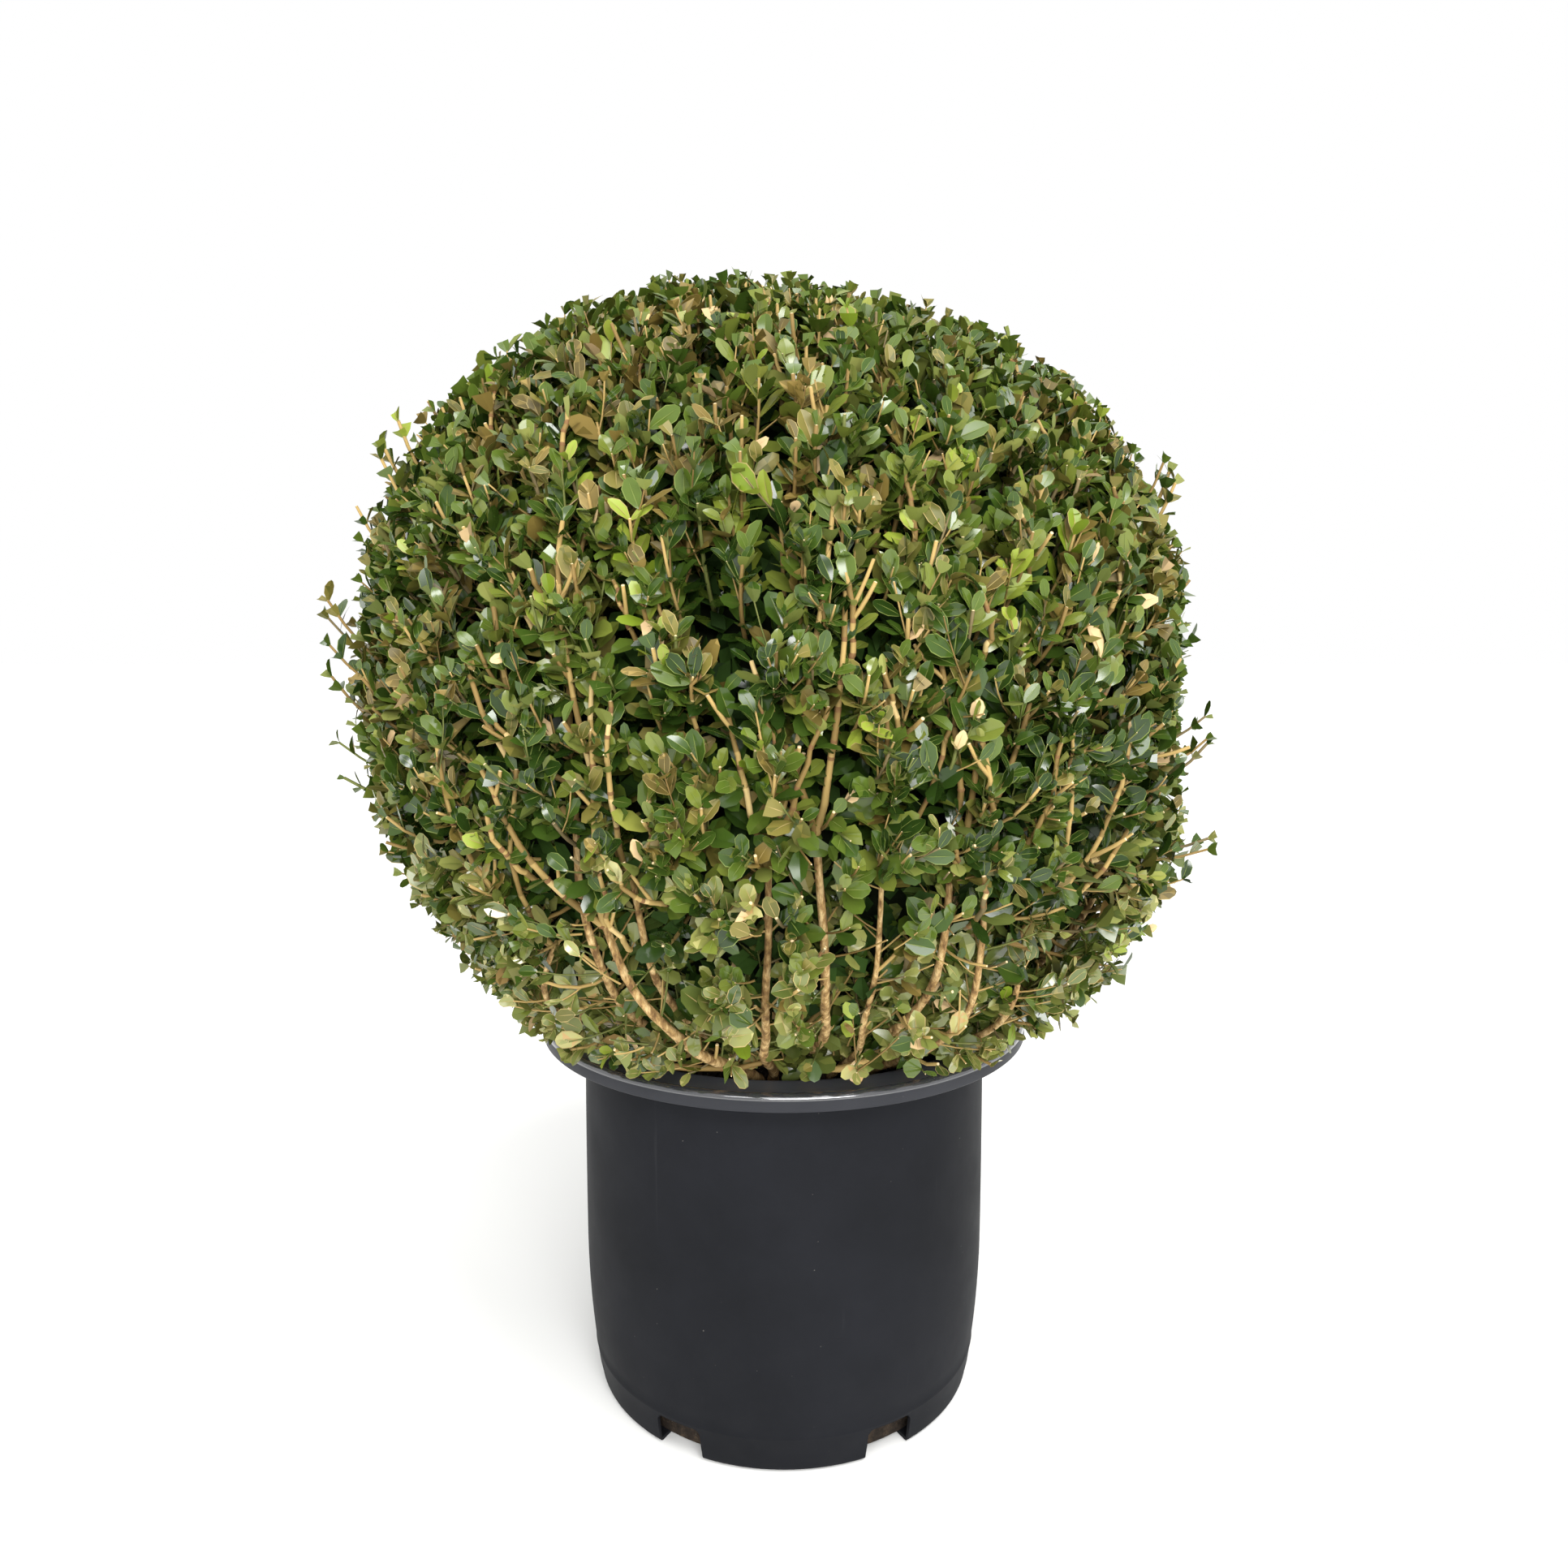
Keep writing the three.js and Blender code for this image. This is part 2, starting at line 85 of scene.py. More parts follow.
# Clipped surface and core of the ball.
BALL_CENTRE = 512 * MM
MIDDLE = np.array([0, 0, BALL_CENTRE])
BALL_RADIUS = 290 * MM
BALL_RISE = 279 * MM
BALL_DROP = 300 * MM
BALL_FULLNESS = 2.16
CORE_SHARE = 0.81
CORE_DROP = 234 * MM
CORE = (BALL_RADIUS * CORE_SHARE, BALL_RISE * CORE_SHARE, CORE_DROP)
GOLDEN_ANGLE = math.pi * (3 - math.sqrt(5))

# Stump in the middle.
STEM_HEIGHT = 62 * MM
STEM_RADIUS = 8 * MM
STEM_FLARE = 7 * MM
STEM_LEAN = 6 * MM
STEM_STEPS = 24
STEM_SIDES = 24

# Boughs: azimuth where it leaves the pot, swing, height where it enters the mass, girth and tuck.
BOUGHS = [
    (-33, 4, 452, 6.4, 4),
    (-9, -18, 394, 7.4, 0),
    (-20, -1, 420, 6.0, 26),
    (-4, 2, 436, 6.2, 12),
    (10, -6, 452, 7.0, 0),
    (16, -3, 428, 4.6, 18),
    (24, -1, 426, 6.6, 6),
    (33, -4, 416, 5.6, 0),
    (-58, 20, 372, 5.4, 0),
    (47, -9, 376, 5.2, 4),
    (68, 6, 440, 6.6, 6),
    (-78, -8, 448, 6.4, 0),
    (96, -10, 428, 6.0, 10),
    (-104, 7, 420, 5.8, 4),
    (128, 9, 444, 7.0, 0),
    (-134, -9, 434, 6.2, 8),
    (157, -5, 424, 5.8, 4),
    (-166, 8, 450, 6.6, 0),
]
BOUGH_STEPS = 64
BOUGH_SIDES = 14
BOUGH_SHOWN_FROM = 8
BOUGH_TIP_SHARE = 0.84
BOUGH_BULGE = 1.06
FOOT_RINGS = (58 * MM, 92 * MM)
FOOT_DEPTH = 10 * MM

# Camera.
CAMERA_PITCH = 7.02
CAMERA_LENS = 26.1
EYE = np.array([0, -0.839, 0.549])


def add_object(name, data):
    thing = bpy.data.objects.new(name, data)
    bpy.context.scene.collection.objects.link(thing)
    return thing


def make_camera():
    data = bpy.data.cameras.new("camera")
    data.lens = CAMERA_LENS
    data.sensor_width = 36
    camera = add_object("camera", data)
    camera.location = EYE
    camera.rotation_euler = (math.radians(90 - CAMERA_PITCH), 0, 0)
    bpy.context.scene.camera = camera


# --- mesh helpers ---


def mesh_object(name, vertices, triangles, materials, indices=None, smooth=True):
    """An object from arrays of vertices and triangles, with a material index for each triangle."""
    mesh = bpy.data.meshes.new(name)
    mesh.vertices.add(len(vertices))
    mesh.vertices.foreach_set("co", np.asarray(vertices, np.float32).ravel())
    mesh.loops.add(3 * len(triangles))
    mesh.loops.foreach_set("vertex_index", np.asarray(triangles, np.int32).ravel())
    mesh.polygons.add(len(triangles))
    mesh.polygons.foreach_set("loop_start", np.arange(0, 3 * len(triangles), 3, dtype=np.int32))
    for material in materials:
        mesh.materials.append(material)
    if indices is not None:
        mesh.polygons.foreach_set("material_index", np.asarray(indices, np.int32))
    mesh.polygons.foreach_set("use_smooth", np.full(len(triangles), smooth))
    mesh.update(calc_edges=True)
    mesh.validate()
    return add_object(name, mesh)


def settle(piece, slot, *nodes):
    """The piece rides on the one body and stands for CAD nodes; the slot is not used."""
    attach(piece, "root")
    if nodes:
        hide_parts(*nodes)


def unit(vectors):
    return vectors / np.maximum(np.linalg.norm(vectors, axis=-1, keepdims=True), 1e-12)


def squared(vectors, axes):
    """Unit vectors square to unit axes, on the side of the given vectors."""
    return unit(vectors - (vectors * axes).sum(-1, keepdims=True) * axes)


def wall_faces(rows, sides):
    """Triangles between each ring of a round wall and the next."""
    i, j = np.meshgrid(np.arange(rows - 1), np.arange(sides), indexing="ij")
    a, b = i * sides + j, i * sides + (j + 1) % sides
    c, d = a + sides, b + sides
    return np.concatenate([np.stack([a, b, d], -1), np.stack([a, d, c], -1)]).reshape(-1, 3)


def repeated(triangles, count, points, first=0):
    """Triangles of a number of copies of a mesh that has so many points."""
    numbers = first + points * np.arange(count)
    return (triangles[None] + numbers[:, None, None]).reshape(-1, 3)


def lathe(profile, sides):
    """Vertices and triangles of a profile of (radius, height) turned round the axis."""
    turns = 2 * math.pi * np.arange(sides) / sides
    rings = np.array([[(r * math.sin(a), -r * math.cos(a), z) for a in turns] for r, z in profile])
    return rings.reshape(-1, 3), wall_faces(len(profile), sides)


def tubes(paths, radii, sides):
    """Vertices and triangles of round tubes along paths (count, steps, 3), with blunt far ends.
    Also gives a flag for each triangle that is part of an end."""
    count, steps, _ = paths.shape
    tangents = unit(np.gradient(paths, axis=1))
    across = np.cross(tangents[:, 0], tangents[:, -1])
    spare = np.cross(tangents[:, 0], unit(np.array([0.31, 0.83, 0.47])))
    across = np.where(np.linalg.norm(across, axis=-1, keepdims=True) > 0.05, across, spare)
    across = squared(np.repeat(unit(across)[:, None], steps, axis=1), tangents)
    other = np.cross(tangents, across)
    turns = 2 * math.pi * np.arange(sides) / sides
    ring = across[:, :, None] * np.cos(turns)[:, None] + other[:, :, None] * np.sin(turns)[:, None]
    shell = paths[:, :, None] + ring * radii[:, :, None, None]
    ends = paths[:, -1] + tangents[:, -1] * radii[:, -1:] * 0.25
    vertices = np.concatenate([shell.reshape(count, -1, 3), ends[:, None]], axis=1)

    wall = wall_faces(steps, sides)
    last = (steps - 1) * sides + np.arange(sides)
    cap = np.stack([last, np.roll(last, -1), np.full(sides, steps * sides)], -1)
    one = np.concatenate([wall, cap])
    is_end = np.tile(np.arange(len(one)) >= len(wall), count)
    return vertices.reshape(-1, 3), repeated(one, count, steps * sides + 1), is_end


# --- materials ---


def linear(red, green, blue):
    """A colour of 0 to 255 sRGB values as linear values, opaque."""
    values = [v / 255 for v in (red, green, blue)]
    return (*(v / 12.92 if v <= 0.04045 else ((v + 0.055) / 1.055) ** 2.4 for v in values), 1)


def plain(name, colour, roughness, specular):
    """A plain material, for the joined small pieces."""
    material = bpy.data.materials.new(name)
    material.use_nodes = True
    shader = material.node_tree.nodes["Principled BSDF"]
    shader.inputs["Base Color"].default_value = linear(*colour)
    shader.inputs["Roughness"].default_value = roughness
    shader.inputs["Specular IOR Level"].default_value = specular
    return material


class Nodes:
    """Short names for building one material's nodes."""

    def __init__(self, name):
        self.material = bpy.data.materials.new(name)
        self.material.use_nodes = True
        self.tree = self.material.node_tree
        self.place = self.add("TexCoord").outputs["Object"]

    def feed(self, node, values):
        """Links outputs to a node's sockets, and sets the sockets that get a plain value."""
        for socket, value in values.items():
            if isinstance(value, bpy.types.NodeSocket):
                self.tree.links.new(value, node.inputs[socket])
            else:
                node.inputs[socket].default_value = value

    def add(self, kind, values=None, **settings):
        node = self.tree.nodes.new("ShaderNode" + kind)
        for key, value in settings.items():
            setattr(node, key, value)
        self.feed(node, values or {})
        return node

    def stretch(self, *scale):
        return self.add("Mapping", {"Vector": self.place, "Scale": scale}).outputs["Vector"]

    def noise(self, scale, detail=4, rough=0.6, vector=None):
        values = {"Scale": scale, "Detail": detail, "Roughness": rough}
        return self.add("TexNoise", {**values, "Vector": vector or self.place}).outputs["Fac"]

    def ramp(self, value, *stops):
        """Stops are (position, colour), a colour being one number or a linear colour."""
        node = self.add("ValToRGB", {"Fac": value})
        elements = node.color_ramp.elements
        while len(elements) < len(stops):
            elements.new(0.5)
        for element, (position, colour) in zip(elements, stops):
            element.position = position
            element.color = colour if isinstance(colour, tuple) else (colour, colour, colour, 1)
        return node.outputs["Color"]

    def mix(self, share, first, second):
        return self.add("Mix", {0: share, 6: first, 7: second}, data_type="RGBA").outputs[2]

    def math(self, operation, first, second):
        return self.add("Math", {0: first, 1: second}, operation=operation).outputs[0]

    def bump(self, height, strength, distance, under=None):
        """A bump, over another one where that is given."""
        values = {"Height": height, "Strength": strength, "Distance": distance}
        if under:
            values["Normal"] = under
        return self.add("Bump", values).outputs["Normal"]

    def finish(self, colour, roughness, normal, specular):
        values = {"Base Color": colour, "Roughness": roughness, "Normal": normal}
        values["Specular IOR Level"] = specular
        self.feed(self.tree.nodes["Principled BSDF"], values)
        return self.material


def pot_plastic(name, dark, light, rough, specular):
    """Moulded black plastic: faint dust low down, a few fine scratches and a slight grain."""
    n = Nodes(name)
    mottle = n.ramp(n.noise(9, 5), (0.35, 0), (0.75, 1))
    body = n.mix(mottle, linear(*dark), linear(*light))
    up = n.add("SeparateXYZ", {0: n.place}).outputs["Z"]
    low = n.ramp(n.math("DIVIDE", up, POT_HEIGHT), (0, 1), (0.4, 0))
    dust = n.math("MULTIPLY", low, n.ramp(n.noise(35, 6, 0.7), (0.45, 0), (0.8, 0.05)))
    body = n.mix(dust, body, linear(62, 58, 52))
    scratches = n.ramp(n.noise(90, 3, 0.5, n.stretch(1, 1, 0.08)), (0.72, 0), (0.78, 0.1))
    body = n.mix(scratches, body, linear(70, 71, 73))
    specks = n.ramp(n.noise(480, 1, 0.3), (0.83, 0), (0.85, 0.5))
    body = n.mix(specks, body, linear(120, 118, 112))
    roughness = n.ramp(n.noise(22, 5), (0.3, rough), (0.75, rough + 0.1))
    grain = n.bump(n.noise(900, 2), 0.06, 0.4 * MM)
    return n.finish(body, roughness, n.bump(n.noise(26, 3), 0.08, 2 * MM, grain), specular)


def potting_mix():
    """Damp dark mix with paler crumbs of bark and a few white grains."""
    n = Nodes("potting_mix")
    crumbs = n.noise(160, 6, 0.75)
    tones = linear(22, 18, 15), linear(50, 41, 33), linear(88, 73, 57)
    body = n.ramp(crumbs, *zip((0.3, 0.52, 0.75), tones))
    grains = n.ramp(n.noise(420, 1, 0.3), (0.77, 0), (0.8, 0.8))
    body = n.mix(grains, body, linear(190, 184, 170))
    return n.finish(body, 0.92, n.bump(crumbs, 0.9, 4 * MM), 0.25)


def bark():
    """Thin tan bark: fine lengthwise ridges, and paler and darker patches where it flakes."""
    n = Nodes("bark")
    patches = n.noise(230, 5, 0.65, n.stretch(1, 1, 0.4))
    tones = linear(104, 76, 42), linear(174, 140, 86), linear(226, 196, 140)
    body = n.ramp(patches, *zip((0.37, 0.5, 0.64), tones))
    ridges = n.noise(900, 4, 0.7, n.stretch(1, 1, 0.14))
    body = n.mix(n.ramp(ridges, (0.35, 0.5), (0.6, 0)), body, linear(112, 84, 54))
    rings = n.noise(380, 3, 0.6, n.stretch(0.12, 0.12, 1))
    flakes = n.bump(patches, 0.5, 1.5 * MM, n.bump(rings, 0.35, 0.8 * MM))
    roughness = n.ramp(patches, (0.4, 0.8), (0.6, 0.62))
    return n.finish(body, roughness, n.bump(ridges, 0.6, 1.2 * MM, flakes), 0.3)


# --- pot and potting mix ---

# Name, darker and lighter tone, roughness and specular of the plastic's finishes, and of the
# painted sheen on the skirt and the painted light on the lip top.
POT_FINISHES_AND_PAINTED_LIGHT = (
    ("pot_plastic", (24, 25, 28), (30, 31, 35), 0.5, 0.05),
    # Lighter than the wall: a painted sheen on the skirt.
    ("pot_skirt_plastic", (44, 45, 49), (54, 55, 59), 0.4, 0.1),
    # Paler still: painted light that lifts the lip top out of the shade under the ball.
    ("pot_lip_plastic", (70, 72, 78), (84, 86, 92), 0.32, 0.35),
    ("pot_shoulder_plastic", (44, 45, 49), (56, 57, 61), 0.1, 1.0),
)
WALL, SKIRT, LIP_TOP, SHOULDER = range(4)


def wall_radius(height):
    """The pot's outer radius, widest at the belly."""
    if height >= WALL_BELLY_HEIGHT:
        end = WALL_TOP_RADIUS
        share = (height - WALL_BELLY_HEIGHT) / (POT_HEIGHT - WALL_BELLY_HEIGHT)
    else:
        end = WALL_FOOT_RADIUS
        share = (WALL_BELLY_HEIGHT - height) / WALL_BELLY_HEIGHT
    return WALL_BELLY_RADIUS - (WALL_BELLY_RADIUS - end) * share**2


def arc(radius, height, size, start, end, steps):
    """Points of a profile's round corner, angles in degrees from outwards to up."""
    angles = np.radians(np.linspace(start, end, steps))
    return [(radius + size * math.cos(a), height + size * math.sin(a)) for a in angles]


def pot_profile():
    """From the middle of the underside out, up the wall, over the lip and down inside."""
    under, skirt, step = POT_HEIGHT - POT_SKIN, POT_HEIGHT - LIP_SKIRT, STEP_HEIGHT
    skirt_inside = LIP_RADIUS - POT_SKIN
    lip_middle = (LIP_RADIUS + LIP_INNER_RADIUS) / 2
    foot, edge = WALL_FOOT_EDGE, LIP_EDGE
    profile = [(AXIS_HOLE, 0), (WALL_FOOT_RADIUS - foot, 0)]
    profile += arc(WALL_FOOT_RADIUS - foot, foot, foot, -90, 0, 7)[1:]
    profile += [(wall_radius(h), h) for h in (12 * MM, step - 1.2 * MM)]
    profile.append((wall_radius(step) + 0.35 * MM, step))
    profile.append((wall_radius(step) - 0.1 * MM, step + 1.5 * MM))
    profile += [(wall_radius(h), h) for h in np.linspace(step + 10 * MM, under - 6 * MM, 22)]
    profile += arc(wall_radius(under) + 3 * MM, under - 3 * MM, 3 * MM, 180, 90, 5)
    profile += arc(skirt_inside - 1.5 * MM, under - 1.5 * MM, 1.5 * MM, 90, 0, 4)
    profile += [(skirt_inside + 0.4 * MM, skirt + 0.5 * MM)]
    profile += arc(LIP_RADIUS - 1.0 * MM, skirt + 1.0 * MM, 1.0 * MM, -90, 0, 4)
    profile += arc(LIP_RADIUS - edge, POT_HEIGHT - edge, edge, 0, 90, 8)
    profile += [
        (lip_middle + 6 * MM, POT_HEIGHT - 0.4 * MM),
        (lip_middle - 6 * MM, POT_HEIGHT - 0.5 * MM),
        (LIP_INNER_RADIUS + 3 * MM, POT_HEIGHT - 0.2 * MM),
    ]
    profile += arc(LIP_INNER_RADIUS + 1.0 * MM, POT_HEIGHT - 2.4 * MM, 2.2 * MM, 90, 170, 6)
    inside = (POT_HEIGHT - 8 * MM, *INSIDE_LEVELS[::-1], POT_SKIN)
    return profile + [(wall_radius(h) - POT_SKIN, h) for h in inside] + [(AXIS_HOLE, POT_SKIN)]


def close_lathe(thing):
    """Closes the small holes on the axis, so that the solid is whole."""
    work = bmesh.new()
    work.from_mesh(thing.data)
    bmesh.ops.holes_fill(work, edges=[e for e in work.edges if e.is_boundary])
    bmesh.ops.recalc_face_normals(work, faces=work.faces)
    work.to_mesh(thing.data)
    work.free()


def notch_cutters():
    """Doorways with rounded top corners round the pot's foot, as one object."""
    half = NOTCH_WIDTH / 2
    top = NOTCH_HEIGHT - NOTCH_CORNER
    outline = [(-half, -2 * MM), (half, -2 * MM)]
    outline += arc(half - NOTCH_CORNER, top, NOTCH_CORNER, 0, 90, 6)
    outline += arc(NOTCH_CORNER - half, top, NOTCH_CORNER, 90, 180, 6)
    work = bmesh.new()
    for i in range(NOTCH_COUNT):
        turn = Matrix.Rotation(2 * math.pi * (i + 0.5) / NOTCH_COUNT, 4, "Z")
        corners = [work.verts.new(turn @ Vector((x, -NOTCH_FROM, z))) for x, z in outline]
        grown = bmesh.ops.extrude_face_region(work, geom=[work.faces.new(corners)])
        moved = [v for v in grown["geom"] if isinstance(v, bmesh.types.BMVert)]
        bmesh.ops.translate(work, verts=moved, vec=turn @ Vector((0, -NOTCH_DEPTH, 0)))
    bmesh.ops.recalc_face_normals(work, faces=work.faces)
    mesh = bpy.data.meshes.new("notches")
    work.to_mesh(mesh)
    work.free()
    return add_object("notches", mesh)


def make_pot():
    finishes_and_painted_light = [pot_plastic(*finish) for finish in POT_FINISHES_AND_PAINTED_LIGHT]
    coat = finishes_and_painted_light[SHOULDER].node_tree.nodes["Principled BSDF"].inputs["Coat Weight"]
    coat.default_value = 1
    pot = mesh_object("nursery_pot", *lathe(pot_profile(), POT_SIDES), finishes_and_painted_light)
    close_lathe(pot)
    cutters = notch_cutters()
    cut = pot.modifiers.new("notches", "BOOLEAN")
    cut.operation = "DIFFERENCE"
    cut.solver = "EXACT"
    cut.object = cutters
    bpy.context.view_layer.update()
    shaped = pot.evaluated_get(bpy.context.evaluated_depsgraph_get())
    pot.data = bpy.data.meshes.new_from_object(shaped)
    pot.modifiers.clear()
    bpy.data.objects.remove(cutters)

    # Each face takes its finish, painted sheen or painted light from the middle between its lowest
    # and highest corner.
    for face in pot.data.polygons:
        face.use_smooth = True
        corners = [pot.data.vertices[i].co for i in face.vertices]
        heights = [corner.z for corner in corners]
        levels = [math.hypot(corner.x, corner.y) for corner in corners]
        height, level = (min(heights) + max(heights)) / 2, (min(levels) + max(levels)) / 2
        if height < POT_HEIGHT - LIP_SKIRT - MM or level < WALL_TOP_RADIUS + 2 * MM:
            face.material_index = WALL
        elif height < POT_HEIGHT - LIP_GLOSS:
            # Skirt faces take the painted sheen tone.
            face.material_index = SKIRT
        else:
            # Lip top faces take the pale painted light tone.
            face.material_index = SHOULDER if level > LIP_RADIUS - LIP_GLOSS else LIP_TOP
    pot.data.set_sharp_from_angle(angle=math.radians(40))
    settle(pot, "pot_plastic", "pot")


def place_all(radius, turn, height):
    """Points from their distances from the axis and turns round it, at one height."""
    return np.stack([radius * np.cos(turn), radius * np.sin(turn), np.full(len(turn), height)], -1)


def make_mix():
    """The mix: its sides behind the notches, a crumbly top, and loose crumbs lying on it."""

    def inner(height):
        return wall_radius(height) - POT_SKIN - MIX_GAP

    foot = POT_SKIN + MIX_GAP
    shoulder = NOTCH_HEIGHT + 4 * MM
    set_back = inner(foot) - MIX_SETBACK
    profile = [(AXIS_HOLE, foot), (set_back, foot), (set_back, shoulder)]
    profile += [(inner(h), h) for h in (shoulder, *INSIDE_LEVELS, MIX_LEVEL)]
    top_radius = inner(MIX_LEVEL)
    profile += [(top_radius * s, MIX_LEVEL) for s in np.linspace(0.985, 0.02, 52)]
    vertices, triangles = lathe(profile, 120)
    level = np.hypot(vertices[:, 0], vertices[:, 1])
    on_top = (vertices[:, 2] > MIX_LEVEL - 1e-6) & (level < top_radius * 0.99)
    x, y = vertices[:, 0] * 1000, vertices[:, 1] * 1000
    swell = 1.2 * np.sin(x / 11 + 1.7 * np.sin(y / 17)) + np.sin(y / 9 + 1.3 * np.sin(x / 13))
    grit = rng.normal(0, 0.9, len(vertices))
    vertices[:, 2] += np.where(on_top, (swell + grit - 1.5) * MM, 0)

    radius = top_radius * 0.96 * np.sqrt(rng.random(CRUMBS))
    turn = 2 * math.pi * rng.random(CRUMBS)
    size = rng.gamma(3, 0.75, CRUMBS) * MM
    centre = place_all(radius, turn, MIX_LEVEL)
    corner = np.repeat(np.eye(3), 2, axis=0) * np.tile([1, -1], 3)[:, None]
    faces = [(0, 2, 4), (2, 1, 4), (1, 3, 4), (3, 0, 4), (2, 0, 5), (1, 2, 5), (3, 1, 5), (0, 3, 5)]
    shape = corner[None] * (size[:, None] * rng.uniform(0.5, 1.6, (CRUMBS, 3)))[:, None]
    shape += rng.normal(0, 0.25, shape.shape) * size[:, None, None]
    bits = turned(shape, UP, turn[:, None] * 7) + centre[:, None]
    crumbs = repeated(np.array(faces), CRUMBS, len(corner), len(vertices))
    vertices = np.concatenate([vertices, bits.reshape(-1, 3)])
    triangles = np.concatenate([triangles, crumbs])
    mix = mesh_object("potting_mix_surface", vertices, triangles, [potting_mix()], smooth=False)
    settle(mix, "potting_mix", "potting_mix")


# --- stem and boughs ---


def ball_reach(directions, radius=BALL_RADIUS, rise=BALL_RISE, drop=BALL_DROP):
    """Distance from the ball's centre to a ball-like surface, along unit directions."""
    level = np.hypot(directions[..., 0], directions[..., 1])
    depth = np.where(directions[..., 2] > 0, rise, drop)
    total = (level / radius) ** BALL_FULLNESS + np.abs(directions[..., 2] / depth) ** BALL_FULLNESS
    return total ** (-1 / BALL_FULLNESS)


def ball_radius_at(height):
    share = (BALL_CENTRE - height) / BALL_DROP
    return BALL_RADIUS * (1 - share**BALL_FULLNESS) ** (1 / BALL_FULLNESS)


def place(radius, azimuth, height):
    a = math.radians(azimuth)
    return np.array([radius * math.sin(a), -radius * math.cos(a), height])


def bough_path(azimuth, swing, height, girth, tuck, index):
    """A bend from the mix over the lip up into the mass, with a slight sway to the sides."""
    foot = FOOT_RINGS[index % len(FOOT_RINGS)]
    rim = POT_HEIGHT + 2 * girth * MM
    outer = ball_radius_at(rim + 20 * MM) * BOUGH_BULGE - tuck * MM
    tip = ball_radius_at(height * MM) * BOUGH_TIP_SHARE
    p = place(foot, azimuth, MIX_LEVEL - FOOT_DEPTH)
    q = place(foot + 40 * MM, azimuth, rim)
    r = place(outer, azimuth + swing * 0.4, rim + tuck * MM / 2)
    s = place(tip, azimuth + swing, height * MM)
    t = np.linspace(0, 1, BOUGH_STEPS)[:, None]
    bend = p * (1 - t) ** 3 + 3 * q * t * (1 - t) ** 2 + 3 * r * t**2 * (1 - t) + s * t**3
    waves = 1.9 * np.sin(9 * t + 2.1 * index) + 1.2 * np.sin(19 * t + index)
    return bend + place(1, azimuth + 90, 0) * (np.sin(math.pi * t) * waves * MM)


BOUGH_PATHS = np.array([bough_path(*row, i) for i, row in enumerate(BOUGHS)])
BOUGH_GIRTHS = np.array([row[3] for row in BOUGHS]) * MM


def woody_radii(base, tip, steps, joints, count):
    """Tapering radii with swollen joints at an even spacing, for a number of limbs."""
    t = np.linspace(0, 1, steps)[None]
    phase = rng.random((count, 1))
    joint = np.exp(-((((t * joints + phase) % 1) - 0.5) ** 2) / 0.006)
    rough = rng.normal(0, 0.025, (count, steps))
    return (base[:, None] * (1 - t) + tip[:, None] * t) * (1 + 0.13 * joint + rough)


def make_limb(name, node, path, radius, sides, roughness, material):
    """A limb with an uneven surface, in place of the CAD node."""
    vertices, triangles, _ = tubes(path[None], radius[None], sides)
    ring = vertices[:-1].reshape(len(path), sides, 3)
    push = (ring - path[:, None]) * rng.normal(0, roughness, (len(path), sides, 1))
    vertices[:-1] += push.reshape(-1, 3)
    settle(mesh_object(name, vertices, triangles, [material]), "bark", node)


def make_stem_and_boughs():
    material = bark()
    radii = woody_radii(BOUGH_GIRTHS * 0.58, BOUGH_GIRTHS * 0.3, BOUGH_STEPS, 9, len(BOUGHS))
    for i, (path, radius) in enumerate(zip(BOUGH_PATHS, radii), 1):
        names = f"bough_bark_{i:02d}", f"bough_{i:02d}"
        make_limb(*names, path, radius, BOUGH_SIDES, 0.035, material)
    t = np.linspace(0, 1, STEM_STEPS)[:, None]
    foot = np.array([0, 0, MIX_LEVEL - FOOT_DEPTH])
    top = np.array([STEM_LEAN, 0, MIX_LEVEL + STEM_HEIGHT])
    path = foot + (top - foot) * t
    radius = STEM_RADIUS + STEM_FLARE * (1 - t[:, 0]) ** 3
    make_limb("main_stem_bark", "main_stem", path, radius, STEM_SIDES, 0.04, material)


# --- growth of the ball ---

# Where the clipping swells or dips: azimuth, elevation, size and rise in millimetres.
SWELLS = (
    (43, 62, 0.3, -9),
    (-38, 64, 0.28, 2),
    (-60, 40, 0.25, 7),
    (-68, 22, 0.25, 4),
    (-64, -38, 0.26, -14),
    (70, -1, 0.2, -17),
    (66, -27, 0.24, 15),
    (54, -54, 0.25, 2),
)

# Sprigs that stand out of the clipping: azimuth, elevation and reach.
STRAYS = (
    (-70, -5, 1.05),
    (-70, -15, 1.045),
    (71, -11, 1.07),
    (68, -26, 1.05),
    (-66, 22, 1.045),
    (-68, 15, 1.04),
    (67, 21, 1.045),
)

# Low branches that creep along the lip: azimuth, radius and height in millimetres.
RUNNERS = (
    [(-50, 174, 288), (-27, 171, 287), (-14, 163, 287)]
    + [(-4, 154, 291), (6, 168, 322), (10, 181, 343)],
    [(4, 150, 284), (12, 163, 287), (20, 168, 296)]
    + [(27, 176, 318), (30, 184, 338), (31, 190, 352)],
    [(-72, 168, 287), (-60, 172, 288), (-52, 176, 296)]
    + [(-45, 184, 312), (-41, 194, 333), (-39, 200, 350)],
    [(76, 166, 287), (64, 172, 289), (57, 178, 298)]
    + [(50, 186, 312), (46, 192, 330), (44, 197, 348)],
)
LEADERS = 1500
LEADER_STEPS = 7
LOWEST_LEADER = -68
SHOOT_LIFT = 0.55
SIDES_EACH = 3
SIDE_SPREAD = 34
SIDE_LONGEST = 46 * MM
SIDE_STEPS = 4
LONG_SHOOTS = 140
LONG_STEPS = 14
BOUGH_SPRIGS = 42
RIM_SPRIGS = 760


def seen_from(eye, points):
    """Unit directions from a point, and distances."""
    offset = points - eye
    distance = np.linalg.norm(offset, axis=-1)
    return offset / np.maximum(distance, 1e-9)[..., None], distance


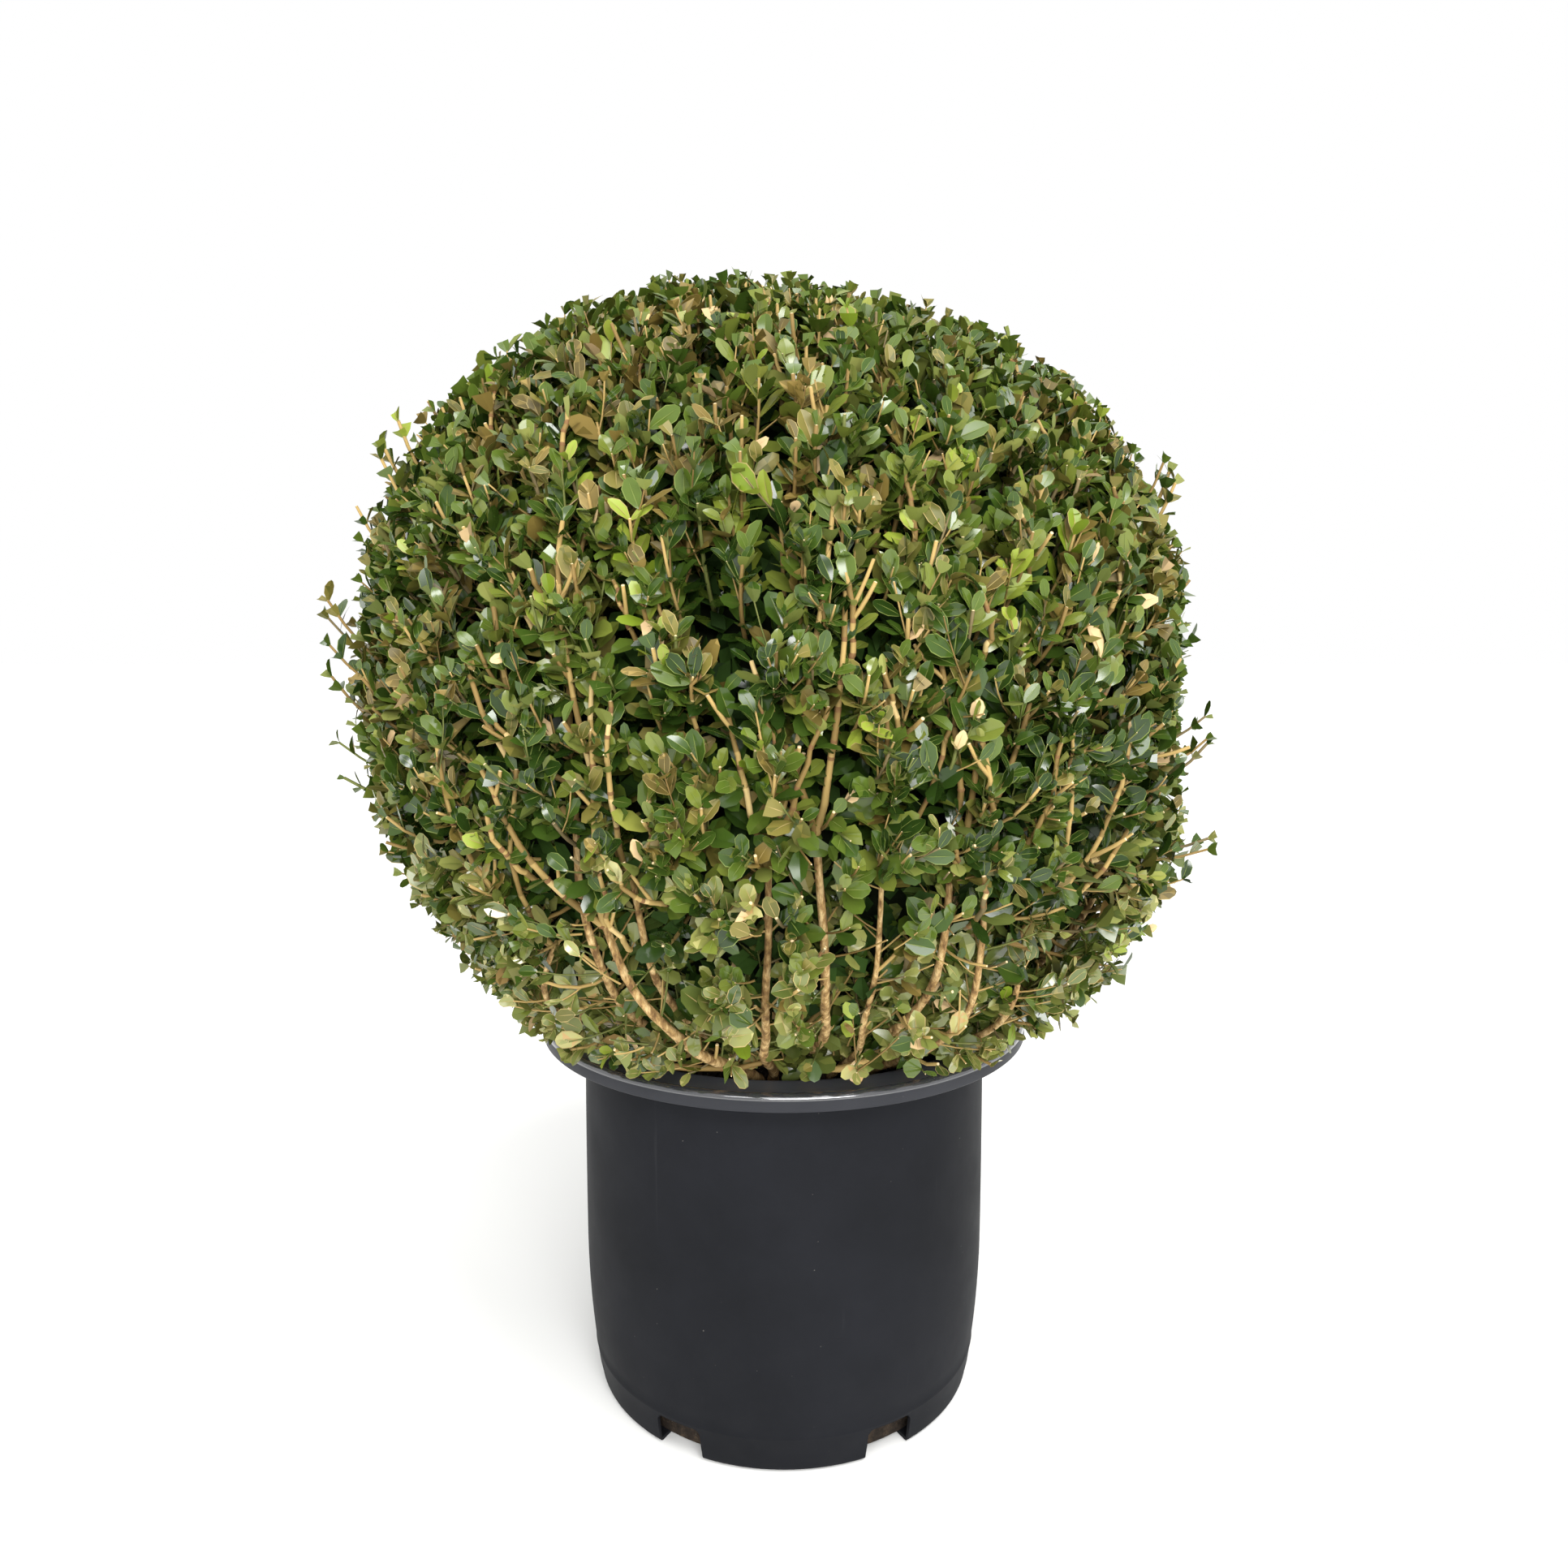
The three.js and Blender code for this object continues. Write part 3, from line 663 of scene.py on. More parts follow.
def way(azimuth, elevation):
    """The unit direction of an azimuth and an elevation in degrees."""
    a, e = math.radians(azimuth), math.radians(elevation)
    return np.array([math.sin(a) * math.cos(e), -math.cos(a) * math.cos(e), math.sin(e)])


def round_ways(z, turn):
    """Unit directions from heights and turns round the axis."""
    level = np.sqrt(1 - z * z)
    return np.stack([level * np.cos(turn), level * np.sin(turn), z], -1)


def even_ways(count, lowest):
    """Unit directions spread evenly from the top down to an elevation in degrees."""
    i = np.arange(count)
    z = 1 - (i + 0.5) / count * (1 - math.sin(math.radians(lowest)))
    return round_ways(z, i * GOLDEN_ANGLE)


def unevenness(directions):
    """How far the clipping stands out or dips, in metres."""
    x, y, z = directions[..., 0], directions[..., 1], directions[..., 2]
    waves = np.sin(4 * x + 5 * z + 1) * np.sin(5 * y - 3 * z) + 0.7 * np.sin(9 * x - 7 * y + 2)
    total = 2.4 * waves - 4.5 * x
    for azimuth, elevation, size, rise in SWELLS:
        a, b, c = way(azimuth, elevation)
        apart = (x - a) ** 2 + (y - b) ** 2 + (z - c) ** 2
        total = total + rise * np.exp(-apart / size**2)
    return total * MM


def share_out(points):
    """How far out points lie, as a share of the way to the clipped surface."""
    directions, distance = seen_from(MIDDLE, points)
    return distance / (ball_reach(directions) + unevenness(directions))


def room_along(starts, headings, reach):
    """Distance along unit headings to a share of the way to the clipped surface."""
    low = np.zeros(len(starts))
    high = np.full(len(starts), 0.3)
    for _ in range(14):
        middle = (low + high) / 2
        inside = share_out(starts + headings * middle[:, None]) < reach
        low = np.where(inside, middle, low)
        high = np.where(inside, high, middle)
    return low


def turned(vectors, axes, angles):
    """Vectors turned about unit axes by angles."""
    c, s = np.cos(angles)[..., None], np.sin(angles)[..., None]
    along = (axes * vectors).sum(-1, keepdims=True)
    return vectors * c + np.cross(axes, vectors) * s + axes * along * (1 - c)


def square_to(headings):
    """A unit vector square to each heading."""
    spare = np.where(np.abs(headings[..., 2:]) < 0.9, UP, np.array([1.0, 0, 0]))
    return unit(np.cross(headings, spare))


def any_side(headings):
    """A unit vector square to each heading, turned at random."""
    return turned(square_to(headings), headings, 2 * math.pi * rng.random(len(headings)))


def leaning(along, side, degrees):
    """Unit vectors that lean from one direction towards another that is square to it."""
    angle = np.radians(degrees)[:, None]
    return unit(along * np.cos(angle) + side * np.sin(angle))


def lengths(paths):
    return np.linalg.norm(np.diff(paths, axis=1), axis=-1).sum(1)


def arcs(starts, first, last, span, steps):
    """Bent paths that leave along `first` and arrive along `last`."""
    t = np.linspace(0, 1, steps)[None, :, None]
    middle = starts + first * span[:, None] * 0.5
    end = middle + last * span[:, None] * 0.5
    return starts[:, None] * (1 - t) ** 2 + 2 * middle[:, None] * t * (1 - t) + end[:, None] * t**2


def at(paths, t):
    """Points and unit directions of paths at shares t of their length, one for each path."""
    steps = paths.shape[1]
    k = np.clip(t * (steps - 1), 0, steps - 1.001)
    i = k.astype(int)
    rows = np.arange(len(paths))
    f = (k - i)[:, None]
    start, end = paths[rows, i], paths[rows, i + 1]
    return start * (1 - f) + end * f, unit(end - start)


def clipped_arcs(starts, first, last, reach, longest, steps):
    """Bent paths that end at the clipped surface, or sooner where they are long enough."""
    both = first + last
    size = np.linalg.norm(both, axis=-1)
    room = room_along(starts, both / size[:, None], reach)
    return arcs(starts, first, last, np.minimum(2 * room / size, longest), steps)


def lowest_leaf(points):
    """How low growth comes over the lip and beyond it, a little higher at the front, and how far
    the points are from the axis."""
    level = np.hypot(points[..., 0], points[..., 1])
    slope = 0.15 + 0.04 * np.clip(-points[..., 1] / np.maximum(level, 1e-6), 0, 1)
    return POT_HEIGHT + slope * np.clip(level - LIP_INNER_RADIUS, 0, 1), level


def clear_of_pot(paths):
    """Whether whole paths stay above the lip, or inside the pot and above the mix."""
    lowest, level = lowest_leaf(paths)
    above = paths[..., 2] > lowest + 4 * MM
    within = (level < LIP_INNER_RADIUS - 12 * MM) & (paths[..., 2] > MIX_LEVEL + 3 * MM)
    return (above | within).all(1)


def grow_leaders():
    """Woody shoots that run from the core to the clipped surface, bending upwards."""
    outward = even_ways(LEADERS, LOWEST_LEADER)
    outward = unit(outward + rng.normal(0, 0.03, outward.shape))
    share = np.clip((outward[:, 2] + 0.5) / 0.8, 0, 1)
    lift = SHOOT_LIFT * share * share * (3 - 2 * share)
    first = unit(outward + lift[:, None] * UP + rng.normal(0, 0.2, outward.shape))
    level_out = unit(outward * np.array([1, 1, 0.4]))
    last = unit(level_out + (3.2 * lift + 0.7)[:, None] * UP + rng.normal(0, 0.2, outward.shape))
    depth = rng.uniform(0.95, 1.03, LEADERS)
    starts = outward * (ball_reach(outward, *CORE) * depth)[:, None] + MIDDLE
    reach = rng.uniform(0.95, 1.0, LEADERS)
    reach[rng.random(LEADERS) < 0.012] += 0.02
    for azimuth, elevation, far in STRAYS:
        reach[np.argsort(-(outward @ way(azimuth, elevation)))[:3]] = far
    paths = clipped_arcs(starts, first, last, reach, 1, LEADER_STEPS)
    clear = clear_of_pot(paths)
    return paths[clear], outward[clear]


def grow_sides(paths, outward):
    """Thinner shoots from leaders, bending up and outwards."""
    total = len(paths)
    found = []
    for _ in range(SIDES_EACH):
        foot, along = at(paths, rng.uniform(0.3, 0.93, total))
        side = any_side(along)
        first = leaning(along, side, rng.normal(SIDE_SPREAD, 9, total))
        last = unit(first + 0.6 * UP + 0.35 * outward + rng.normal(0, 0.12, first.shape))
        reach = rng.uniform(0.95, 1.01, total)
        longest = SIDE_LONGEST * rng.uniform(0.55, 1, total)
        made = clipped_arcs(foot, first, last, reach, longest, SIDE_STEPS)
        good = (np.linalg.norm(made[:, -1] - made[:, 0], axis=-1) > 9 * MM) & clear_of_pot(made)
        found.append((made[good], outward[good]))
    return [np.concatenate(part) for part in zip(*found)]


def surface_runs(starts, rise, drift, end_share):
    """Paths that climb by an angle under the clipped surface and come out to a share of it."""
    directions, _ = seen_from(MIDDLE, starts)
    share = share_out(starts)
    azimuth = np.arctan2(directions[:, 0], -directions[:, 1])
    climb = np.arcsin(directions[:, 2])
    t = np.linspace(0, 1, LONG_STEPS)[None]
    kinks = rng.normal(0, 0.0035, (len(starts), LONG_STEPS)).cumsum(1)
    azimuth = azimuth[:, None] + drift[:, None] * t + kinks - kinks[:, -1:] * t
    climb = np.minimum(climb[:, None] + rise[:, None] * t, 1.45)
    flat = np.cos(climb)
    ways = np.stack([flat * np.sin(azimuth), -flat * np.cos(azimuth), np.sin(climb)], -1)
    shares = share[:, None] + (end_share[:, None] - share[:, None]) * np.sin(math.pi / 2 * t)
    distance = (ball_reach(ways) + unevenness(ways)) * shares
    return ways * distance[..., None] + MIDDLE


def grow_long_shoots():
    """Strong shoots that climb just under the clipped surface, bare in places, with cut ends."""
    i = np.arange(LONG_SHOOTS)
    z = -0.6 + 1.35 * ((i + 0.5) / LONG_SHOOTS) ** 0.9
    ways = round_ways(z, i * GOLDEN_ANGLE + rng.normal(0, 0.08, LONG_SHOOTS))
    share = rng.uniform(0.85, 0.91, LONG_SHOOTS)
    starts = ways * (ball_reach(ways) * share)[:, None] + MIDDLE
    rise = rng.uniform(0.08, 0.27, LONG_SHOOTS)
    drift = rng.normal(0, 0.06, LONG_SHOOTS)
    return surface_runs(starts, rise, drift, rng.uniform(0.94, 0.99, LONG_SHOOTS)), ways


def grow_bough_tops():
    """What each bough becomes above the place where it enters the mass: two or three forks."""
    index = np.concatenate([np.repeat(np.arange(len(BOUGHS)), 2), np.arange(0, len(BOUGHS), 3)])
    tips = BOUGH_PATHS[index, -2]
    rise = rng.uniform(0.3, 0.75, len(index))
    drift = np.where(np.arange(len(index)) % 2, 1, -1) * rng.uniform(0.02, 0.16, len(index))
    paths = surface_runs(tips, rise, drift, rng.uniform(0.93, 0.99, len(index)))
    return paths, seen_from(MIDDLE, tips)[0], BOUGH_GIRTHS[index]


def grow_stubs(paths, outward, count):
    """Short cut-off side branches, bare of leaves."""
    index = rng.integers(0, len(paths), count)
    foot, along = at(paths[index], rng.uniform(0.25, 0.9, count))
    first = unit(along + 0.8 * any_side(along))
    last = unit(first + 0.5 * UP + 0.3 * outward[index])
    return arcs(foot, first, last, rng.uniform(10, 32, count) * MM, SIDE_STEPS)


def grow_from_boughs():
    """Short leafy shoots along the outer part of each bough."""
    total = len(BOUGHS) * BOUGH_SPRIGS
    paths = np.repeat(BOUGH_PATHS, BOUGH_SPRIGS, axis=0)
    foot, along = at(paths, rng.uniform(0.3, 0.97, total))
    side = any_side(along)
    outward = unit(foot * np.array([1.0, 1, 0]))
    first = unit(0.5 * along + side + 0.1 * outward)
    last = unit(first + 0.5 * outward + 0.5 * UP)
    longest = rng.uniform(18, 52, total) * MM
    made = clipped_arcs(foot, first, last, 0.99, longest, SIDE_STEPS)
    clear = clear_of_pot(made[:, 1:]) & (made[:, 0, 2] > POT_HEIGHT)
    return made[clear], outward[clear]


def grow_rim_sprigs():
    """Low leafy shoots that stand up along the lip's inner edge, all round the pot."""
    count = RIM_SPRIGS
    turn = 2 * math.pi * (np.arange(count) + rng.random(count)) / count
    radius = rng.uniform(118, 160, count) * MM
    ring = np.stack([np.sin(turn), -np.cos(turn), np.zeros(count)], -1)
    starts = ring * radius[:, None] + UP * rng.uniform(278, 292, (count, 1)) * MM
    starts[:, 2] += 8 * MM * (radius > LIP_INNER_RADIUS - 16 * MM)
    lean = rng.uniform(0.3, 2.0, (count, 1))
    first = unit(lean * ring + UP + rng.normal(0, 0.3, ring.shape))
    last = unit((lean + 0.3) * ring + UP + rng.normal(0, 0.3, ring.shape))
    span = rng.uniform(22, 62, count) / (0.7 + 0.4 * lean[:, 0]) * MM
    paths = arcs(starts, first, last, span, SIDE_STEPS)
    clear = clear_of_pot(paths[:, 1:])
    return paths[clear], ring[clear]


def grow_rim_runners():
    """Smooth paths through the points of the low branches."""
    knots = np.array([[place(r * MM, a, z * MM) for a, r, z in run] for run in RUNNERS])
    t = np.linspace(0, knots.shape[1] - 1, 3 * LONG_STEPS)
    i = np.minimum(t.astype(int), knots.shape[1] - 2)
    f = (t - i)[None, :, None]
    ahead, behind = 2 * knots[:, -1:] - knots[:, -2:-1], 2 * knots[:, :1] - knots[:, 1:2]
    before = np.concatenate([behind, knots[:, :-1]], 1)[:, i]
    start, end = knots[:, i], knots[:, i + 1]
    after = np.concatenate([knots[:, 1:], ahead], 1)[:, i + 1]
    second = 2 * before - 5 * start + 4 * end - after
    third = 3 * start - before - 3 * end + after
    return 0.5 * (2 * start + (end - before) * f + second * f**2 + third * f**3)


# --- leaves ---

GREENS = [(36, 55, 17), (54, 75, 24), (77, 95, 33), (102, 112, 44), (134, 138, 62)]
DUSTY = [(62, 78, 34), (84, 95, 44), (106, 113, 54), (132, 134, 72), (170, 165, 104)]
DUSTY += [(184, 152, 98), (146, 118, 70)]

# Name, roughness, specular and tones of each kind of leaf colour, glossy above and dull below.
LEAF_KINDS = (
    ("leaf_top", 0.15, 0.42, GREENS),
    ("leaf_under", 0.45, 0.3, [(90, 100, 46), (112, 120, 56), (138, 142, 74)]),
    ("leaf_olive", 0.42, 0.4, [(92, 91, 38), (117, 109, 50)]),
    ("leaf_bronze", 0.42, 0.4, [(92, 80, 36), (118, 101, 48), (150, 128, 70)]),
    ("leaf_lime", 0.36, 0.45, [(114, 134, 36), (138, 152, 54)]),
    ("leaf_dusty", 0.18, 0.72, DUSTY),
    ("leaf_dried", 0.7, 0.2, [(212, 182, 136)]),
    ("leaf_rib", 0.5, 0.3, [(106, 120, 54), (164, 146, 92)]),
    # Darkest, dull greens for the inner leaves: painted shade deep in the ball.
    ("leaf_inner", 0.7, 0.1, [(26, 44, 12), (38, 60, 18)]),
)
FIRST_TONES = np.cumsum([0] + [len(kind[-1]) for kind in LEAF_KINDS[:-1]]).tolist()
TOP, UNDER, OLIVE, BRONZE, LIME, DUST, DRY, RIB_AND_PAINTED_EDGE, DEEP = FIRST_TONES

# Tints of sprays, and where some of them gather: azimuth, elevation, size, tint and chance. The
# dark patches are painted shade.
IN_GREEN, IN_OLIVE, IN_BRONZE, IN_LIME, IN_DUST, INSIDE, IN_PAINTED_SHADE = range(7)
PATCHES = (
    (-22, 34, 0.4, IN_BRONZE, 0.24),
    (38, 8, 0.26, IN_BRONZE, 0.16),
    (-48, 4, 0.26, IN_BRONZE, 0.18),
    (150, 30, 0.3, IN_BRONZE, 0.3),
    (95, -6, 0.25, IN_BRONZE, 0.3),
    (26, -6, 0.26, IN_PAINTED_SHADE, 0.6),
    (-4, 14, 0.2, IN_PAINTED_SHADE, 0.4),
    (46, -6, 0.24, IN_PAINTED_SHADE, 0.5),
    (-36, -4, 0.22, IN_PAINTED_SHADE, 0.35),
    (-140, -10, 0.3, IN_PAINTED_SHADE, 0.4),
)
SECTORS = 6
INNER_LEAVES = 8000
LOWEST_INNER = -62

# Chances that a leaf goes that hides a limb from outside, and from the camera; fewer at the lip.
THINNING, LIP_THINNING = 0.92, 0.45
FRONT_THINNING, LIP_FRONT_THINNING = 0.62, 0.3
LIP_ZONE = 22 * MM
FRONT_OF = -60 * MM
FRONT_CLEARANCE = 0.62
AT_ONCE = 8000


def leaf_shape(stations, cut_off=False, ribbed=False, edged=False):
    """A flat leaf in two halves that meet in a crease: points (across, along, above) and
    triangles, with a flag for its pale midrib and margin."""
    points, triangles, pale = [], [], []
    # Half the blade's width: broadest past the middle, blunt ended.
    widths = [float(0.5 * np.sin(math.pi * np.asarray(u) ** 1.3) ** 0.6) for u in stations]
    # An edged leaf has a thin pale strip at its margin: partly the leaf's own paler edge, partly a
    # painted highlight of light through the thin edge.
    across = [0.0, 0.91, 1.0] if edged else [0.0, 1.0]
    each = len(across)
    for half in (-1, 1):
        first = len(points)
        points.append((0.0, 0.0, 0.0))
        points += [(half * w * x, u, 0.0) for u, w in zip(stations, widths) for x in across]
        for column in range(each - 1):
            faces = [(0, 2 + column, 1 + column)]
            for row in range(len(stations) - 1):
                a = 1 + each * row + column
                faces += [(a, a + 1, a + 1 + each), (a, a + 1 + each, a + each)]
            if not cut_off:
                last = 1 + each * len(stations)
                faces.append((last - each + column, last - each + column + 1, last))
            if half < 0:
                faces = [(a, c, b) for a, b, c in faces]
            triangles += [(first + a, first + b, first + c) for a, b, c in faces]
            pale += [column == 1] * len(faces)
        if not cut_off:
            points.append((0.0, 1.0, 0.0))
    if ribbed:
        end = 0.9 if not cut_off else stations[-1]
        first = len(points)
        points += [(0.0, 0.02, 0.0), (-0.022, 0.3, 0.02), (0.022, 0.3, 0.02)]
        points += [(-0.018, 0.62 * end, 0.02), (0.018, 0.62 * end, 0.02), (0.0, end, 0.012)]
        rib = [(0, 2, 1), (1, 2, 4), (1, 4, 3), (3, 4, 5)]
        triangles += [(first + a, first + b, first + c) for a, b, c in rib]
        pale += [True] * len(rib)
    return np.array(points), np.array(triangles), np.array(pale)


LEAF_SHAPES = [
    leaf_shape([0.1, 0.4, 0.72, 0.93], ribbed=True, edged=True),
    leaf_shape([0.14, 0.5, 0.88], ribbed=True),
    leaf_shape([0.2, 0.55, 0.88]),
    leaf_shape([0.3, 0.78]),
    leaf_shape([0.12, 0.36, 0.62], cut_off=True, ribbed=True),
    leaf_shape([0.55]),
]
EDGED, FINE, PLAIN, ROUGH, BLUNT, COARSE = range(6)
BLUNT_SHARE = 0.62

# How far out each of the finer leaf shapes begins.
EDGED_FROM, FINE_FROM, PLAIN_FROM = 0.95, 0.93, 0.87


def deal_leaves(paths, outward, spacing, pairs, sprays, size):
    """Leaves in opposite pairs, each pair turned a quarter, from the tips of shoots down."""
    total = len(paths)
    span = lengths(paths)
    spin = 2 * math.pi * rng.random(total)
    vigour = rng.uniform(0.8, 1.2, total)
    rows = []
    for pair in range(pairs):
        back = (1.0 * MM + pair * spacing) * rng.uniform(0.9, 1.1, total)
        share = 1 - back / span
        keep = (share > 0.1) & (rng.random(total) < 0.96)
        point, along = at(paths, np.clip(share, 0, 1))
        base = square_to(along)
        for half in (0, math.pi):
            quarter = spin + pair * math.pi / 2 + half
            side = turned(base, along, quarter + rng.normal(0, 0.22, total))
            direction = leaning(along, side, min(30 + 8 * pair, 58) + rng.normal(0, 10, total))
            light = unit(0.9 * outward + 0.6 * UP)
            face = squared(along + light * (0.2 + 1.2 * rng.random((total, 1))), direction)
            face = turned(face, direction, rng.normal(0, 0.3, total))
            growth = 0.72 if pair == 0 else 1.0
            length = growth * size * vigour * rng.normal(1, 0.1, total)
            rows.append([v[keep] for v in (point, direction, face, length, sprays)])
    return [np.concatenate(column) for column in zip(*rows)]


def deal_inner_leaves(spray):
    """Leaves deep in the thicket, which fill the view between the outer ones."""
    count = INNER_LEAVES
    ways = even_ways(count, LOWEST_INNER)
    point = ways * (ball_reach(ways) * rng.uniform(0.8, 0.88, count))[:, None] + MIDDLE
    face = unit(ways + rng.normal(0, 0.35, ways.shape))
    direction = any_side(face)
    return [point, direction, face, rng.uniform(15, 20, count) * MM, np.full(count, spray)]


def spray_tints(tips):
    """A tint for each spray, by chance and from its place."""
    directions, _ = seen_from(MIDDLE, tips)
    luck = rng.random(len(tips))
    found = [luck < 0.27, luck > 0.93, luck > 0.9]
    tint = np.select(found, [IN_OLIVE, IN_BRONZE, IN_LIME], IN_GREEN)
    for azimuth, elevation, size, kind, chance in PATCHES:
        near = np.linalg.norm(directions - way(azimuth, elevation), axis=-1) < size
        tint[near & (rng.random(len(tips)) < chance)] = kind
    low = np.clip((-directions[:, 2] - 0.16) / 0.4, 0, 1)
    tint[rng.random(len(tips)) < 0.85 * low] = IN_DUST
    return tint


def leaf_colours(tint, facing, height, spray_luck):
    """The colour of each leaf from its spray's tint and the side that faces outwards."""
    total = len(tint)
    luck = np.clip(0.5 * spray_luck + 0.5 * rng.random(total), 0, 0.9999)
    # Sprays in the painted shade patches take only the darker greens.
    luck = np.where(tint == IN_PAINTED_SHADE, luck * 0.45, luck)
    # Leaves high on the ball shift to brighter greens: painted light on the top.
    bright = luck * 0.84 + 0.08 * np.clip((height - 0.6) / 0.18, 0, 1)
    colour = TOP + (np.clip(bright, 0, 0.9999) * 5).astype(int)
    under = facing < -0.05
    colour[under] = UNDER + (luck[under] * 3).astype(int)
    olive = (tint == IN_OLIVE) & (rng.random(total) < 0.5)
    colour[olive] = OLIVE + (luck[olive] > 0.5)
    bronze = (tint == IN_BRONZE) & (rng.random(total) < 0.62)
    colour[bronze] = BRONZE + np.clip((luck[bronze] * 2).astype(int) + under[bronze], 0, 2)
    colour[tint == IN_LIME] = LIME + (luck[tint == IN_LIME] > 0.5)
    dusty = (tint == IN_DUST) & (rng.random(total) < 0.82)
    colour[dusty] = DUST + np.searchsorted([0.18, 0.42, 0.66, 0.82, 0.9, 0.95], luck[dusty])
    colour[rng.random(total) < 0.006] = DRY
    # Inner leaves take the darkest greens: painted shade.
    colour[tint == INSIDE] = DEEP + (luck[tint == INSIDE] > 0.5)
    return colour


def mottling(colour):
    """The second tone of each leaf and the share of its faces that take it."""
    other = colour.copy()
    share = np.zeros(len(colour))
    for first, after, spots in ((OLIVE, BRONZE, 0.12), (BRONZE, LIME, 0.15), (DUST, DRY, 0.12)):
        own = (colour >= first) & (colour < after)
        other[own] = np.where(colour[own] + 1 < after, colour[own] + 1, colour[own] - 1)
        share[own] = spots
    return other, share


def hides_a_limb(points, limbs, clearance, from_camera=False):
    """Whether points lie before a limb and within a clearance beside it, as seen from outside
    towards the ball's middle, or from the camera."""
    eye = EYE if from_camera else MIDDLE
    ways, distance = seen_from(eye, points)
    samples, depth = seen_from(eye, limbs)
    hidden = np.zeros(len(points), bool)
    for start in range(0, len(points), AT_ONCE):
        part = slice(start, start + AT_ONCE)
        cosine = ways[part] @ samples.T
        k = cosine.argmax(1)
        beside = np.arccos(np.clip(cosine[np.arange(len(k)), k], -1, 1)) * distance[part]
        before = (distance[part] - depth[k]) * (-1 if from_camera else 1) > -1 * MM
        hidden[part] = (beside < clearance[k]) & before
    return hidden


def make_leaves(groups, limbs, clearance, tints):
    """Places every leaf, clips those that would stand out, and joins them by sector."""
    root, direction, face, length, spray = [np.concatenate(c) for c in zip(*groups)]
    total = len(root)
    out, _ = seen_from(MIDDLE, root)
    low = np.clip((-out[:, 2] - 0.3) / 0.4, 0, 1)
    length = length * (1 - 0.04 * low)
    width = length * rng.uniform(0.52, 0.64, total) * (1 + 0.14 * low)

    reach_root, reach_tip = share_out(root), share_out(root + direction * length[:, None])
    outside = np.where(reach_root > 1.0, reach_root + 0.02, 0)
    limit = np.maximum(rng.uniform(0.985, 1.02, total), outside)
    over = reach_tip > limit
    kept_share = (limit - reach_root) / np.maximum(reach_tip - reach_root, 1e-6)
    cut = over & (kept_share > 0.38)
    keep = ~over | cut
    length = np.where(cut, length * np.clip(kept_share / BLUNT_SHARE, 0.6, 1.0), length)

    middle = root + direction * length[:, None] * 0.6
    floor, level = lowest_leaf(middle)
    floor = floor + rng.uniform(0.5, 5, total) * MM
    within = (level < LIP_INNER_RADIUS - 14 * MM) & (middle[:, 2] > MIX_LEVEL + 3 * MM)
    keep &= (middle[:, 2] > floor) | within
    at_lip = middle[:, 2] < POT_HEIGHT + LIP_ZONE
    thinned = rng.random(total) < np.where(at_lip, LIP_THINNING, THINNING)
    keep &= ~(hides_a_limb(middle, limbs, clearance) & thinned)
    near = (limbs[:, 1] < FRONT_OF) & (clearance > 2 * MM)
    thinned = rng.random(total) < np.where(at_lip, LIP_FRONT_THINNING, FRONT_THINNING)
    keep &= ~(hides_a_limb(middle, limbs[near], clearance[near] * FRONT_CLEARANCE, True) & thinned)

    luck = rng.random(spray.max() + 1)
    colour = leaf_colours(tints[spray], (face * out).sum(-1), root[:, 2], luck[spray])
    finer = [reach_root > start for start in (EDGED_FROM, FINE_FROM, PLAIN_FROM)]
    shape = np.select(finer, [EDGED, FINE, PLAIN], ROUGH)
    shape[tints[spray] == INSIDE] = COARSE
    shape[cut] = BLUNT
    other, mottled = mottling(colour)
    fold = rng.uniform(-0.1, 0.45, total)
    curl = rng.uniform(-0.06, 0.26, total)
    side = np.cross(direction, face)
    turn = np.degrees(np.arctan2(root[:, 0], -root[:, 1]))
    sector = ((turn + 180) * SECTORS / 360).astype(int) % SECTORS
    materials = [
        plain(f"{name}_{i + 1}", tone, roughness, specular)
        for name, roughness, specular, tones in LEAF_KINDS
        for i, tone in enumerate(tones)
    ]
    for s in range(SECTORS):
        parts = []
        offset = 0
        for kind, (points, faces, ribs_and_edges) in enumerate(LEAF_SHAPES):
            w = np.where(keep & (shape == kind) & (sector == s))[0]
            if not len(w):
                continue
            x, y, above = points.T
            wide, long = width[w, None], length[w, None]
            rise = np.abs(x)[None] * fold[w, None] * wide
            rise += above[None] * wide - curl[w, None] * (y**2)[None] * long
            where = root[w, None] + side[w, None] * (x[None] * wide)[..., None]
            where = where + direction[w, None] * (y[None] * long)[..., None]
            where = where + face[w, None] * rise[..., None]
            # Midribs and margins take the pale rib tones; on the margin this is partly a painted
            # highlight.
            rib = RIB_AND_PAINTED_EDGE + (colour[w] >= OLIVE)
            spots = rng.random((len(w), len(faces))) < mottled[w, None]
            tone = np.where(spots, other[w, None], colour[w, None])
            tone = np.where(ribs_and_edges[None], rib[:, None], tone).reshape(-1)
            parts.append((where.reshape(-1, 3), repeated(faces, len(w), len(points), offset), tone))
            offset += len(w) * len(points)
        vertices, triangles, indices = [np.concatenate(part) for part in zip(*parts)]
        piece = mesh_object(f"leaves_{s + 1}", vertices, triangles, materials, indices)
        settle(piece, "foliage", *(["foliage_ball"] if s == 0 else []))


# --- twigs and the dark inside ---

TWIG_COLOURS = [(170, 143, 86), (130, 106, 58), (110, 97, 64), (102, 108, 54), (200, 174, 118)]
CUT_COLOURS = (("twig_joint", (126, 94, 60)), ("cut_wood", (218, 194, 152)))
BROWN, PALE, JOINT, CUT = 1, 4, 5, 6


